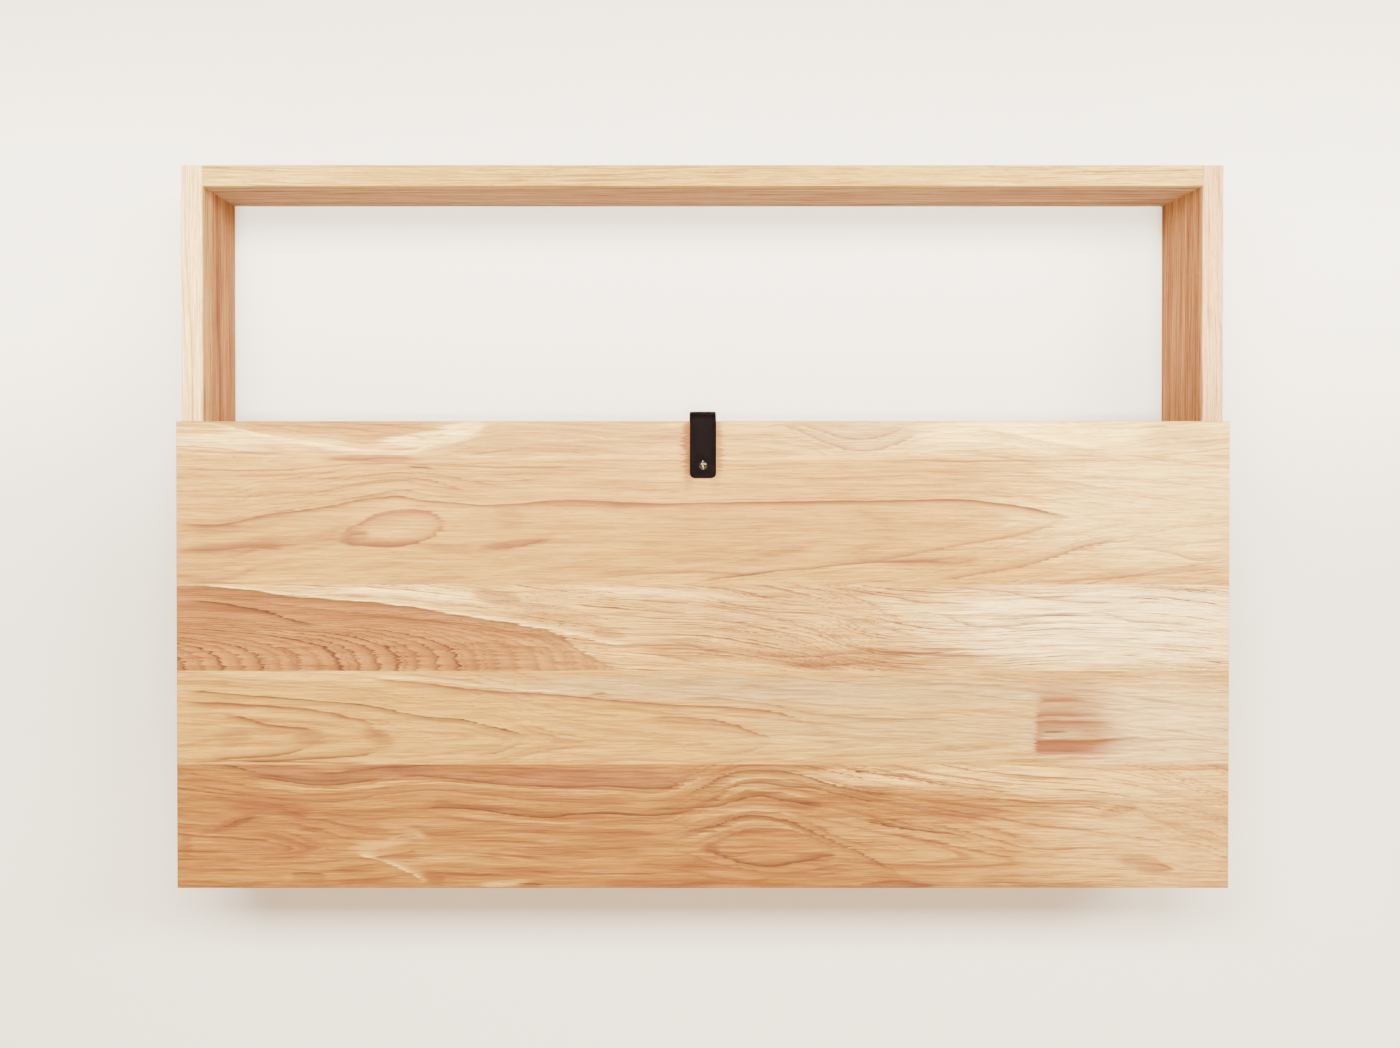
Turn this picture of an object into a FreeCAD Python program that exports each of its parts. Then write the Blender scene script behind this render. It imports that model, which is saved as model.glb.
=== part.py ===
import FreeCAD, Part
import os
import re

import Sketcher

# Wall desk with a fall front, hung on a wall bar.
# X runs along the desk to the right, -Y points at the person who uses it,
# the wall is the plane y = 0 and Z is up. The origin is the middle of the
# screw line of the wall bar.

Vector = FreeCAD.Vector
document = FreeCAD.newDocument("WallDesk")

# Driving sizes in millimetres and degrees: name and value.
SIZES = [
    # Carcass
    ("desk_width", "1000"),
    ("carcass_height", "660"),
    ("carcass_depth", "133"),
    ("screw_line_drop", "320"),
    ("board_thickness", "20"),
    ("edge_round", "1.2"),
    ("glue_clearance", "0.05"),
    ("overrun", "3"),
    ("shelf_drop", "2"),
    ("shelf_setback", "6"),
    ("back_thickness", "6"),
    ("back_setback", "12"),
    ("groove_depth", "6"),
    ("rail_thickness", "20"),
    ("rail_height", "60"),
    ("wall_void", "10"),
    ("insert_thickness", "12"),
    ("insert_setback", "12"),
    ("letter_shelf_height", "190"),
    ("letter_shelf_housing", "5"),
    ("divider_housing", "4"),
    ("divider_spacing", "320"),
    ("tongue_thickness", "5"),
    ("tongue_width", "24"),
    ("tongue_length", "80"),
    ("tongue_setback", "22"),
    ("rail_tongue_length", "40"),
    ("tongue_notch_margin", "6"),
    # Fall front
    ("flap_height", "444"),
    ("flap_thickness", "20"),
    ("flap_lip", "30"),
    ("pad_thickness", "1"),
    ("pad_side", "8"),
    ("lower_pad_height", "60"),
    ("upper_pad_height", "330"),
    ("top_stave", "32"),
    ("second_stave", "123"),
    ("third_stave", "82"),
    ("fourth_stave", "89"),
    # Leather pull
    ("pull_width", "25"),
    ("leather_thickness", "2.5"),
    ("pull_drop", "54"),
    ("pull_rise", "9.5"),
    ("pull_bend_radius", "6.75"),
    ("pull_corner_radius", "4.5"),
    ("pull_screw_drop", "41.5"),
    ("pull_hole_radius", "2.6"),
    ("pull_head_radius", "4.4"),
    ("pull_head_height", "2.2"),
    ("pull_head_rim", "0.7"),
    ("pull_slot_width", "1.1"),
    ("pull_slot_depth", "1.1"),
    ("barrel_radius", "2.5"),
    ("barrel_wall", "0.7"),
    ("barrel_length", "18"),
    ("barrel_head_height", "1.4"),
    ("thread_clearance", "0.03"),
    ("pull_screw_length", "16"),
    # Hinges
    ("hinge_length", "60"),
    ("hinge_spacing", "660"),
    ("hinge_surface_gap", "0.3"),
    ("leaf_thickness", "2"),
    ("leaf_reach", "23"),
    ("leaf_corner_radius", "2"),
    ("knuckle_radius", "3"),
    ("knuckle_gap", "0.2"),
    ("hinge_pin_radius", "1.5"),
    ("hinge_pin_clearance", "0.05"),
    ("leaf_screw_setback", "13"),
    ("leaf_screw_spacing", "40"),
    ("screw_hole_radius", "1.7"),
    ("hinge_knuckles", "3"),
    # Quadrant stays
    ("stay_radius", "105"),
    ("stay_width", "8"),
    ("stay_thickness", "3"),
    ("stay_side_gap", "3.5"),
    ("stay_foot_thickness", "2"),
    ("stay_foot_width", "20.5"),
    ("stay_foot_height", "44"),
    ("stay_foot_corner", "3"),
    ("stay_root_angle", "1.6"),
    ("stay_tail_angle", "2.9"),
    ("stay_tail_corner", "3"),
    ("stay_screw_spacing", "20"),
    ("stay_screw_inset", "6"),
    ("opening_angle", "90"),
    ("guide_setback", "2"),
    ("guide_depth", "10"),
    ("guide_width", "12"),
    ("guide_height", "30"),
    ("guide_corner_radius", "2"),
    ("guide_slot_clearance", "0.3"),
    ("stop_pin_radius", "2.5"),
    ("stop_pin_length", "8"),
    ("stop_gap", "0.1"),
    ("tail_clearance", "2"),
    ("tail_notch_width", "10"),
    ("swing_relief", "6"),
    # Magnets
    ("magnet_radius", "4"),
    ("magnet_depth", "5"),
    ("magnet_height", "370"),
    ("strike_side", "14"),
    ("strike_depth", "1.5"),
    # Wall bar and hanging bar
    ("bar_line_height", "8"),
    ("bar_length", "700"),
    ("bar_end_margin", "50"),
    ("bar_wall", "2.2"),
    ("bar_gap", "0.3"),
    ("bar_flange_below", "11"),
    ("bar_flange_above", "9"),
    ("bar_lip", "11"),
    ("hanging_lip", "10"),
    ("hanging_flange", "20"),
    ("bar_hole_radius", "2.75"),
    ("bar_hole_spacing", "200"),
    ("hanging_hole_spacing", "300"),
]

# Places and sizes that follow from the driving sizes: name and formula.
PLACES = [
    ("half_width", "desk_width / 2"),
    ("half_inside", "half_width - board_thickness"),
    ("carcass_top", "screw_line_drop"),
    ("carcass_bottom", "carcass_top - carcass_height"),
    ("carcass_front", "-carcass_depth"),
    ("inside_top", "carcass_top - board_thickness"),
    ("inside_bottom", "carcass_bottom + board_thickness"),
    ("flap_bottom", "carcass_bottom - flap_lip"),
    ("flap_top", "flap_bottom + flap_height"),
    ("flap_back", "carcass_front - pad_thickness"),
    ("flap_front", "flap_back - flap_thickness"),
    ("shelf_top", "flap_top - shelf_drop"),
    ("shelf_bottom", "shelf_top - board_thickness"),
    ("shelf_front", "carcass_front + shelf_setback"),
    ("rail_back", "-wall_void"),
    ("rail_front", "rail_back - rail_thickness"),
    ("rail_bottom", "shelf_bottom - rail_height"),
    ("back_rear", "-back_setback"),
    ("back_front", "back_rear - back_thickness"),
    ("back_bottom", "inside_bottom - groove_depth"),
    ("back_top", "rail_bottom + groove_depth"),
    ("insert_front", "carcass_front + insert_setback"),
    ("letter_shelf_bottom", "inside_bottom + letter_shelf_height"),
    ("letter_shelf_top", "letter_shelf_bottom + insert_thickness"),
    ("divider_bottom", "inside_bottom - divider_housing"),
    ("divider_top", "letter_shelf_bottom + divider_housing"),
    ("axis_back_of_flap", "knuckle_radius + hinge_surface_gap"),
    ("axis_y", "flap_back + axis_back_of_flap"),
    ("axis_z", "carcass_bottom - axis_back_of_flap"),
    ("bore_radius", "hinge_pin_radius + hinge_pin_clearance"),
    ("knuckle_pitch", "hinge_length / hinge_knuckles"),
    ("plate_start", "knuckle_radius + hinge_surface_gap"),
    ("leaf_inner", "axis_back_of_flap - leaf_thickness"),
    ("stay_x", "half_inside - stay_side_gap - stay_thickness / 2"),
    ("stay_inner_radius", "stay_radius - stay_width / 2"),
    ("stay_outer_radius", "stay_radius + stay_width / 2"),
    ("foot_x", "stay_x + stay_thickness / 2 - stay_foot_width / 2"),
    ("foot_screw_x", "foot_x - stay_foot_width / 2 + stay_screw_inset"),
    ("guide_front", "carcass_front + guide_setback - axis_y"),
    ("guide_rear", "guide_front + guide_depth"),
    ("guide_x", "half_inside - guide_width / 2"),
    ("stop_y", "guide_rear + stop_pin_radius + stop_gap"),
    ("stop_angle", "opening_angle * 1 deg + asin(stop_y / stay_radius)"),
    ("tail_angle", "stop_angle + stay_tail_angle * 1 deg"),
    ("notch_drop", "axis_back_of_flap + board_thickness"),
    ("notch_front", "axis_y + sqrt(stay_inner_radius^2 - notch_drop^2) - tail_clearance"),
    ("notch_back", "axis_y + stay_outer_radius + tail_clearance"),
    ("pull_z", "flap_top - pull_screw_drop"),
    ("pull_front", "flap_front - leather_thickness"),
    ("pull_back", "flap_back + leather_thickness"),
    ("pull_top", "flap_top + pull_rise"),
    ("pull_bottom", "flap_top - pull_drop"),
    ("dome_rise", "pull_head_height - pull_head_rim"),
    ("dome_radius", "(pull_head_radius^2 + dome_rise^2) / (2 * dome_rise)"),
    ("barrel_bore", "barrel_radius - barrel_wall"),
    ("magnet_z", "flap_bottom + magnet_height"),
    ("magnet_x", "half_width - board_thickness / 2"),
    ("bar_line", "rail_bottom + bar_line_height"),
    ("bar_end_hole", "bar_length / 2 - bar_end_margin"),
    ("wall_lip_back", "-bar_wall - 2 * bar_gap"),
    ("wall_lip_front", "wall_lip_back - bar_wall"),
    ("wall_web_top", "bar_flange_above + bar_wall"),
    ("wall_lip_top", "wall_web_top + bar_lip"),
    ("hanging_web_top", "wall_lip_top + bar_wall"),
    ("hanging_top", "hanging_web_top + hanging_flange"),
    ("hanging_hole_z", "hanging_web_top + hanging_flange / 2"),
]

HANDS = {"left": -1, "right": 1}
STAVES = ("top_stave_board", "second_stave_board", "third_stave_board", "fourth_stave_board",
          "bottom_stave_board")
CARCASS_KNUCKLES = (0, 2)
FLAP_KNUCKLES = (1,)
LAST_KNUCKLE = 2

sizes = document.addObject("Spreadsheet::Sheet", "Sizes")
places = document.addObject("Spreadsheet::Sheet", "Places")
SHEET_OF = {name: "Sizes" for name, _ in SIZES}
SHEET_OF.update({name: "Places" for name, _ in PLACES})

subparts = {}


def formula(text):
    """Write the sheet's name before each named size in a formula."""
    def with_sheet(match):
        word = match.group(0)
        return f"{SHEET_OF[word]}.{word}" if word in SHEET_OF else word
    return re.sub(r"[a-z_]+", with_sheet, text)


def number(text):
    """Work a formula out as a plain number."""
    value = sizes.evalExpression(formula(text))
    return float(getattr(value, "Value", value))


def fill_sheet(sheet, rows, written):
    for row, (name, content) in enumerate(rows, start=1):
        sheet.set(f"A{row}", name)
        sheet.set(f"B{row}", written(content))
        sheet.setAlias(f"B{row}", name)
    document.recompute()


def bind(thing, **formulas):
    """Bind properties to formulas; a double underscore stands for a dot."""
    for path, text in formulas.items():
        thing.setExpression(path.replace("__", "."), formula(text))


def new_body(label):
    body = document.addObject("PartDesign::Body", label)
    body.Label = label
    subparts[label] = body
    return body


def origin_feature(body, role):
    return next(item for item in body.Origin.OriginFeatures if item.Role == role)


def new_sketch(body, name, role, lift="0"):
    """Attach a sketch to an origin plane, lifted along the plane's normal."""
    sketch = body.newObject("Sketcher::SketchObject", name)
    sketch.AttachmentSupport = [(origin_feature(body, role), "")]
    sketch.MapMode = "FlatFace"
    bind(sketch, AttachmentOffset__Base__z=lift)
    return sketch


def pin_point(sketch, edge, point, across, up):
    """Hold one point of the sketch at two formulas."""
    for kind, text in (("DistanceX", across), ("DistanceY", up)):
        index = sketch.addConstraint(Sketcher.Constraint(kind, -1, 1, edge, point, number(text)))
        sketch.setExpression(f"Constraints[{index}]", formula(text))


def draw_polygon(sketch, points):
    """Draw a closed outline through points that are pairs of formulas."""
    corners = [Vector(number(across), number(up), 0) for across, up in points]
    count = len(points)
    first = sketch.GeometryCount
    for index in range(count):
        sketch.addGeometry(Part.LineSegment(corners[index], corners[(index + 1) % count]), False)
    for index in range(count):
        following = first + (index + 1) % count
        sketch.addConstraint(Sketcher.Constraint("Coincident", first + index, 2, following, 1))
    for index, (across, up) in enumerate(points):
        pin_point(sketch, first + index, 1, across, up)


def draw_dome(sketch, radius, foot, top, across_half):
    """Draw half the section of a dome that stands on the sketch's X axis side.

    The dome reaches from foot to top along -Y and is part of a circle whose
    radius is given; its flat side lies at foot.
    """
    centre = Vector(0, number(f"{top} + {radius}"), 0)
    crown = Vector(0, number(top), 0)
    rim = Vector(number(across_half), number(foot), 0)
    middle = (crown + rim) * 0.5 - centre
    middle = centre + middle.normalize() * number(radius)
    arc = sketch.addGeometry(Part.Arc(crown, middle, rim), False)
    starts_at_crown = (sketch.Geometry[arc].StartPoint - crown).Length < FIT
    crown_point, rim_point = (1, 2) if starts_at_crown else (2, 1)
    base = sketch.addGeometry(Part.LineSegment(rim, Vector(0, rim.y, 0)), False)
    axis = sketch.addGeometry(Part.LineSegment(Vector(0, rim.y, 0), crown), False)
    for pair in ((arc, rim_point, base, 1), (base, 2, axis, 1), (axis, 2, arc, crown_point)):
        sketch.addConstraint(Sketcher.Constraint("Coincident", *pair))
    pin_point(sketch, base, 1, across_half, foot)
    pin_point(sketch, axis, 1, "0", foot)
    pin_point(sketch, axis, 2, "0", top)
    index = sketch.addConstraint(Sketcher.Constraint("Radius", arc, number(radius)))
    sketch.setExpression(f"Constraints[{index}]", formula(radius))


def draw_box(sketch, left, right, low, high):
    draw_polygon(sketch, [(left, low), (right, low), (right, high), (left, high)])


def draw_square(sketch, across, up, side):
    draw_box(sketch, f"{across} - {side} / 2", f"{across} + {side} / 2", f"{up} - {side} / 2",
             f"{up} + {side} / 2")


def draw_circle(sketch, across, up, radius):
    centre = Vector(number(across), number(up), 0)
    edge = sketch.addGeometry(Part.Circle(centre, Vector(0, 0, 1), number(radius)), False)
    pin_point(sketch, edge, 3, across, up)
    index = sketch.addConstraint(Sketcher.Constraint("Radius", edge, number(radius)))
    sketch.setExpression(f"Constraints[{index}]", formula(radius))


def pad(body, name, sketch, length, symmetric=False, reversed_way=False):
    feature = body.newObject("PartDesign::Pad", name)
    feature.Profile = sketch
    feature.Midplane = symmetric
    feature.Reversed = reversed_way
    bind(feature, Length=length)
    document.recompute()
    return feature


def pocket(body, name, sketch, length, symmetric=False, reversed_way=False):
    """Cut a sketch into the body, and make sure that it took something away."""
    before = body.Shape.Volume
    feature = body.newObject("PartDesign::Pocket", name)
    feature.Profile = sketch
    feature.Midplane = symmetric
    feature.Reversed = reversed_way
    bind(feature, Length=length)
    document.recompute()
    check_cut(body, name, before)
    return feature


def revolve(body, name, sketch, axis_role, kind="PartDesign::Revolution"):
    feature = body.newObject(kind, name)
    feature.Profile = sketch
    feature.ReferenceAxis = (origin_feature(body, axis_role), [""])
    feature.Angle = 360
    document.recompute()
    return feature


def groove(body, name, sketch, axis_role):
    before = body.Shape.Volume
    feature = revolve(body, name, sketch, axis_role, "PartDesign::Groove")
    check_cut(body, name, before)
    return feature


def check_cut(body, name, before):
    if not body.Shape.Volume < before:
        raise RuntimeError(f"{name} cuts nothing from {body.Label}")


def round_edges(body, name, radius, chosen):
    """Round the edges that a test picks from the body's shape."""
    edges = [f"Edge{index}" for index, edge in enumerate(body.Shape.Edges, start=1) if chosen(edge)]
    if not edges:
        raise RuntimeError(f"{name} finds no edge on {body.Label}")
    base = body.Tip
    feature = body.newObject("PartDesign::Fillet", name)
    feature.Base = (base, edges)
    bind(feature, Radius=radius)
    document.recompute()


def lies_at(edge, **wanted):
    """Tell whether a straight edge keeps the given coordinates all along."""
    if len(edge.Vertexes) != 2:
        return False
    return all(
        abs(getattr(vertex, axis) - value) < FIT
        for vertex in edge.Vertexes
        for axis, value in wanted.items()
    )


def place(body, across="0", depth="0", height="0", rotation=None):
    """Put a body that is drawn about its own origin where it belongs."""
    if rotation is not None:
        body.Placement = FreeCAD.Placement(Vector(0, 0, 0), rotation)
    bind(body, Placement__Base__x=across, Placement__Base__y=depth, Placement__Base__z=height)


# Loose tongues shared by the side boards and the boards between them

TONGUE_FRONT = "carcass_front + tongue_setback"


def tongue_in_board(level, back=f"{TONGUE_FRONT} + tongue_length"):
    """Return front, back, low and high of a tongue that lies in a board."""
    return (TONGUE_FRONT, back, f"{level} - tongue_thickness / 2", f"{level} + tongue_thickness / 2")


RAIL_MIDDLE = "rail_back - rail_thickness / 2"
RAIL_LEVEL = "shelf_bottom - rail_height / 2"
TONGUES = {
    "top_board": tongue_in_board("carcass_top - board_thickness / 2"),
    "middle_shelf": tongue_in_board("shelf_bottom + board_thickness / 2"),
    "bottom_board": tongue_in_board("carcass_bottom + board_thickness / 2",
                                    "notch_front - tongue_notch_margin"),
    "mounting_rail": (f"{RAIL_MIDDLE} - tongue_thickness / 2", f"{RAIL_MIDDLE} + tongue_thickness / 2",
                      f"{RAIL_LEVEL} - rail_tongue_length / 2",
                      f"{RAIL_LEVEL} + rail_tongue_length / 2"),
}


def cut_tongue_slots(body):
    """Cut the slots for the loose tongues into both ends of a board."""
    for hand, sign in HANDS.items():
        sketch = new_sketch(body, f"{body.Label}_{hand}_slot", "YZ_Plane", f"{sign} * half_inside")
        draw_box(sketch, *TONGUES[body.Label])
        pocket(body, f"{body.Label}_{hand}_mortise", sketch, "tongue_width / 2",
               reversed_way=hand == "left")


def cross_board(label, front, back, low, high):
    """Make a board that runs between the sides, as its section pushed out."""
    body = new_body(label)
    section = new_sketch(body, f"{label}_section", "YZ_Plane")
    draw_box(section, front, back, low, high)
    pad(body, f"{label}_board", section, "2 * half_inside", symmetric=True)
    edge_y = number(front)
    round_edges(body, f"{label}_arris", "edge_round",
                lambda edge: lies_at(edge, Y=edge_y) and abs(edge.Vertexes[0].X - edge.Vertexes[-1].X) > FIT)
    return body


# Carcass

def make_side(hand):
    sign = HANDS[hand]
    label = f"{hand}_side"
    body = new_body(label)
    middle = f"{sign} * (half_width - board_thickness / 2)"
    face = f"{sign} * half_inside"
    outline = new_sketch(body, f"{label}_outline", "YZ_Plane", middle)
    draw_box(outline, "carcass_front", "0", "carcass_bottom", "carcass_top")
    pad(body, f"{label}_board", outline, "board_thickness", symmetric=True)
    front = number("carcass_front")
    top = number("carcass_top")
    bottom = number("carcass_bottom")
    outside = number(f"{sign} * half_width")
    inside = number(face)

    def shows(edge):
        long_front = lies_at(edge, Y=front, X=outside) or lies_at(edge, Y=front, X=inside)
        ends = lies_at(edge, Z=top, X=outside) or lies_at(edge, Z=bottom, X=outside)
        return long_front or ends or lies_at(edge, Z=top, Y=front)

    round_edges(body, f"{label}_arris", "edge_round", shows)

    slots = new_sketch(body, f"{label}_tongue_slots", "YZ_Plane", face)
    for tongue in TONGUES.values():
        draw_box(slots, *tongue)
    outward = hand == "right"
    pocket(body, f"{label}_mortises", slots, "tongue_width / 2", reversed_way=outward)
    back_groove = new_sketch(body, f"{label}_back_groove", "YZ_Plane", face)
    draw_box(back_groove, "back_front", "back_rear", "back_bottom", "back_top")
    pocket(body, f"{label}_groove", back_groove, "groove_depth", reversed_way=outward)
    housing = new_sketch(body, f"{label}_shelf_housing", "YZ_Plane", face)
    draw_box(housing, "insert_front", "back_front", "letter_shelf_bottom", "letter_shelf_top")
    pocket(body, f"{label}_housing", housing, "letter_shelf_housing", reversed_way=outward)
    magnet_seat = new_sketch(body, f"{label}_magnet_seat", "XZ_Plane", "-carcass_front")
    draw_circle(magnet_seat, f"{sign} * magnet_x", "magnet_z", "magnet_radius")
    pocket(body, f"{label}_magnet_bore", magnet_seat, "magnet_depth")


def make_top_board():
    body = cross_board("top_board", "carcass_front", "0", "inside_top", "carcass_top")
    cut_tongue_slots(body)


def make_middle_shelf():
    body = cross_board("middle_shelf", "shelf_front", "0", "shelf_bottom", "shelf_top")
    cut_tongue_slots(body)


def make_bottom_board():
    body = cross_board("bottom_board", "carcass_front", "0", "carcass_bottom", "inside_bottom")
    cut_tongue_slots(body)
    back_groove = new_sketch(body, "bottom_back_groove", "XY_Plane", "inside_bottom")
    draw_box(back_groove, "-half_inside", "half_inside", "back_front", "back_rear")
    pocket(body, "bottom_groove", back_groove, "groove_depth")
    housings = new_sketch(body, "bottom_divider_housings", "XY_Plane", "inside_bottom")
    draw_divider_plans(housings)
    pocket(body, "bottom_housings", housings, "divider_housing")
    notches = new_sketch(body, "bottom_tail_notches", "XY_Plane", "inside_bottom")
    for sign in HANDS.values():
        draw_box(notches, f"{sign} * (half_inside - tail_notch_width)", f"{sign} * half_inside",
                 "notch_front", "notch_back")
    pocket(body, "bottom_notches", notches, "board_thickness + overrun")


def make_back_panel():
    """Make the thin back, relieved at its lower corners where the stays swing.

    The relief takes nothing away where a smaller stay swings clear of it.
    """
    body = new_body("back_panel")
    outline = new_sketch(body, "back_outline", "XZ_Plane", "-back_rear")
    draw_box(outline, "-half_inside - groove_depth", "half_inside + groove_depth",
             "back_bottom", "back_top")
    pad(body, "back_sheet", outline, "back_thickness")
    swing = new_sketch(body, "back_swing_sections", "XZ_Plane", "-axis_y")
    bind(swing, AttachmentOffset__Base__y="axis_z")
    for sign in HANDS.values():
        draw_box(swing, f"{sign} * (half_inside - tail_notch_width)", f"{sign} * half_inside",
                 "stay_inner_radius - swing_relief", "stay_outer_radius + swing_relief")
    relief = body.newObject("PartDesign::Groove", "back_swing_relief")
    relief.Profile = swing
    relief.ReferenceAxis = (swing, ["H_Axis"])
    relief.Angle = 360
    document.recompute()


def make_mounting_rail():
    body = new_body("mounting_rail")
    section = new_sketch(body, "rail_section", "YZ_Plane")
    draw_box(section, "rail_front", "rail_back", "rail_bottom", "shelf_bottom")
    pad(body, "rail_board", section, "2 * half_inside", symmetric=True)
    cut_tongue_slots(body)
    groove_section = new_sketch(body, "rail_back_groove", "YZ_Plane")
    draw_box(groove_section, "back_front", "back_rear", "rail_bottom", "back_top")
    pocket(body, "rail_groove", groove_section, "desk_width", symmetric=True)


def draw_divider_plans(sketch):
    for sign in HANDS.values():
        centre = f"{sign} * divider_spacing / 2"
        draw_box(sketch, f"{centre} - insert_thickness / 2", f"{centre} + insert_thickness / 2",
                 "insert_front", "back_front")


def make_letter_shelf():
    body = new_body("letter_shelf")
    plan = new_sketch(body, "letter_shelf_plan", "XY_Plane", "letter_shelf_bottom")
    draw_box(plan, "-half_inside - letter_shelf_housing", "half_inside + letter_shelf_housing",
             "insert_front", "back_front")
    pad(body, "letter_shelf_board", plan, "insert_thickness")
    housings = new_sketch(body, "letter_shelf_housings", "XY_Plane", "letter_shelf_bottom")
    draw_divider_plans(housings)
    pocket(body, "letter_shelf_grooves", housings, "divider_housing", reversed_way=True)


def make_divider(hand):
    sign = HANDS[hand]
    body = new_body(f"{hand}_divider")
    outline = new_sketch(body, f"{hand}_divider_outline", "YZ_Plane", f"{sign} * divider_spacing / 2")
    draw_box(outline, "insert_front", "back_front", "divider_bottom", "divider_top")
    pad(body, f"{hand}_divider_board", outline, "insert_thickness", symmetric=True)


def make_tongues(hand):
    body = new_body(f"{hand}_loose_tongues")
    section = new_sketch(body, f"{hand}_tongue_sections", "YZ_Plane", f"{HANDS[hand]} * half_inside")
    for tongue in TONGUES.values():
        draw_box(section, *tongue)
    pad(body, f"{hand}_tongue_strips", section, "tongue_width", symmetric=True)


def make_magnets():
    body = new_body("flap_magnets")
    discs = new_sketch(body, "magnet_discs", "XZ_Plane", "-carcass_front")
    for sign in HANDS.values():
        draw_circle(discs, f"{sign} * magnet_x", "magnet_z", "magnet_radius - glue_clearance")
    pad(body, "magnet_bodies", discs, "magnet_depth", reversed_way=True)


def make_bumper_pads():
    body = new_body("bumper_pads")
    squares = new_sketch(body, "pad_squares", "XZ_Plane", "-carcass_front")
    for sign in HANDS.values():
        for height in ("lower_pad_height", "upper_pad_height"):
            draw_square(squares, f"{sign} * magnet_x", f"flap_bottom + {height}", "pad_side")
    pad(body, "pad_bodies", squares, "pad_thickness")


# Fall front

def stave_levels():
    """Return the bottom and top of each stave, from the top one down."""
    heights = ("top_stave", "second_stave", "third_stave", "fourth_stave")
    levels = []
    top = "flap_top"
    for height in heights:
        low = f"{top} - {height}"
        levels.append((low, top))
        top = low
    levels.append(("flap_bottom", top))
    return levels


def make_staves():
    for name, (low, high) in zip(STAVES, stave_levels()):
        body = new_body(name)
        outline = new_sketch(body, f"{name}_outline", "XZ_Plane", "-flap_back")
        draw_box(outline, "-half_width", "half_width", low, high)
        pad(body, f"{name}_plank", outline, "flap_thickness")
        round_flap_rim(body, low, high)
    cut_flap("pull_bore", draw_circle, "pull_hole_radius", "flap_thickness + overrun",
             [("0", "pull_z")])
    strikes = [(f"{sign} * magnet_x", "magnet_z") for sign in HANDS.values()]
    cut_flap("strike_seat", draw_square, "strike_side", "strike_depth", strikes)


def round_flap_rim(body, low, high):
    """Ease the edges that lie on the rim of the whole flap."""
    ends = (number("-half_width"), number("half_width"))
    faces = (number("flap_front"), number("flap_back"))
    rims = []
    if low == "flap_bottom":
        rims.append(number(low))
    if high == "flap_top":
        rims.append(number(high))

    def on_rim(edge):
        at_ends = any(lies_at(edge, X=end, Y=face) for end in ends for face in faces)
        at_rims = any(lies_at(edge, Z=rim, Y=face) for rim in rims for face in faces)
        return at_ends or at_rims

    round_edges(body, f"{body.Label}_arris", "edge_round", on_rim)


def cut_flap(name, draw, size, depth, points):
    """Cut from the back of the flap into whichever staves the shapes reach."""
    for stave, (low, high) in zip(STAVES, stave_levels()):
        reached = [
            (across, up) for across, up in points
            if number(f"{low} - {size}") < number(up) < number(f"{high} + {size}")
        ]
        if not reached:
            continue
        body = subparts[stave]
        shapes = new_sketch(body, f"{stave}_{name}_shapes", "XZ_Plane", "-flap_back")
        for across, up in reached:
            draw(shapes, across, up, size)
        pocket(body, f"{stave}_{name}", shapes, depth, reversed_way=True)


def make_strikes():
    body = new_body("magnet_strikes")
    plates = new_sketch(body, "strike_plates", "XZ_Plane", "-flap_back")
    for sign in HANDS.values():
        draw_square(plates, f"{sign} * magnet_x", "magnet_z", "strike_side")
    pad(body, "strike_bodies", plates, "strike_depth")


def make_leather_pull():
    """Fold the strap over the flap's top edge with both ends hanging down."""
    body = new_body("leather_pull")
    profile = new_sketch(body, "pull_profile", "YZ_Plane")
    under = "pull_top - leather_thickness"
    draw_polygon(profile, [
        ("pull_front", "pull_bottom"),
        ("flap_front", "pull_bottom"),
        ("flap_front", under),
        ("flap_back", under),
        ("flap_back", "pull_bottom"),
        ("pull_back", "pull_bottom"),
        ("pull_back", "pull_top"),
        ("pull_front", "pull_top"),
    ])
    pad(body, "pull_strap", profile, "pull_width", symmetric=True)
    top = number("pull_top")
    inner_top = number(under)
    bottom = number("pull_bottom")
    sides = (number("-pull_width / 2"), number("pull_width / 2"))

    def crosses(edge):
        return abs(edge.Vertexes[0].X - edge.Vertexes[-1].X) > FIT

    round_edges(body, "pull_outer_bends", "pull_bend_radius + leather_thickness",
                lambda edge: lies_at(edge, Z=top) and crosses(edge))
    round_edges(body, "pull_inner_bends", "pull_bend_radius",
                lambda edge: lies_at(edge, Z=inner_top) and crosses(edge))
    round_edges(body, "pull_corners", "pull_corner_radius",
                lambda edge: any(lies_at(edge, Z=bottom, X=side) for side in sides))
    hole = new_sketch(body, "pull_screw_hole", "XZ_Plane", "-pull_front")
    draw_circle(hole, "0", "pull_z", "pull_hole_radius")
    pocket(body, "pull_screw_bore", hole, "flap_thickness + 2 * leather_thickness + overrun")


def make_pull_screw():
    """Turn the slotted screw whose domed head shows on the front of the strap."""
    body = new_body("pull_screw")
    section = new_sketch(body, "pull_screw_section", "XY_Plane")
    shank = "barrel_bore - thread_clearance"
    draw_polygon(section, [
        ("0", "-pull_head_rim"),
        ("pull_head_radius", "-pull_head_rim"),
        ("pull_head_radius", "0"),
        (shank, "0"),
        (shank, "pull_screw_length"),
        ("0", "pull_screw_length"),
    ])
    revolve(body, "pull_screw_turned", section, "Y_Axis")
    dome = new_sketch(body, "pull_screw_dome", "XY_Plane")
    draw_dome(dome, "dome_radius", "-pull_head_rim", "-pull_head_height", "pull_head_radius")
    revolve(body, "pull_screw_domed", dome, "Y_Axis")
    slot = new_sketch(body, "pull_slot", "XZ_Plane", "pull_head_height")
    draw_box(slot, "-pull_slot_width / 2", "pull_slot_width / 2",
             "-pull_head_radius - overrun", "pull_head_radius + overrun")
    pocket(body, "pull_slot_cut", slot, "pull_slot_depth")
    place(body, depth="pull_front", height="pull_z")


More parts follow.
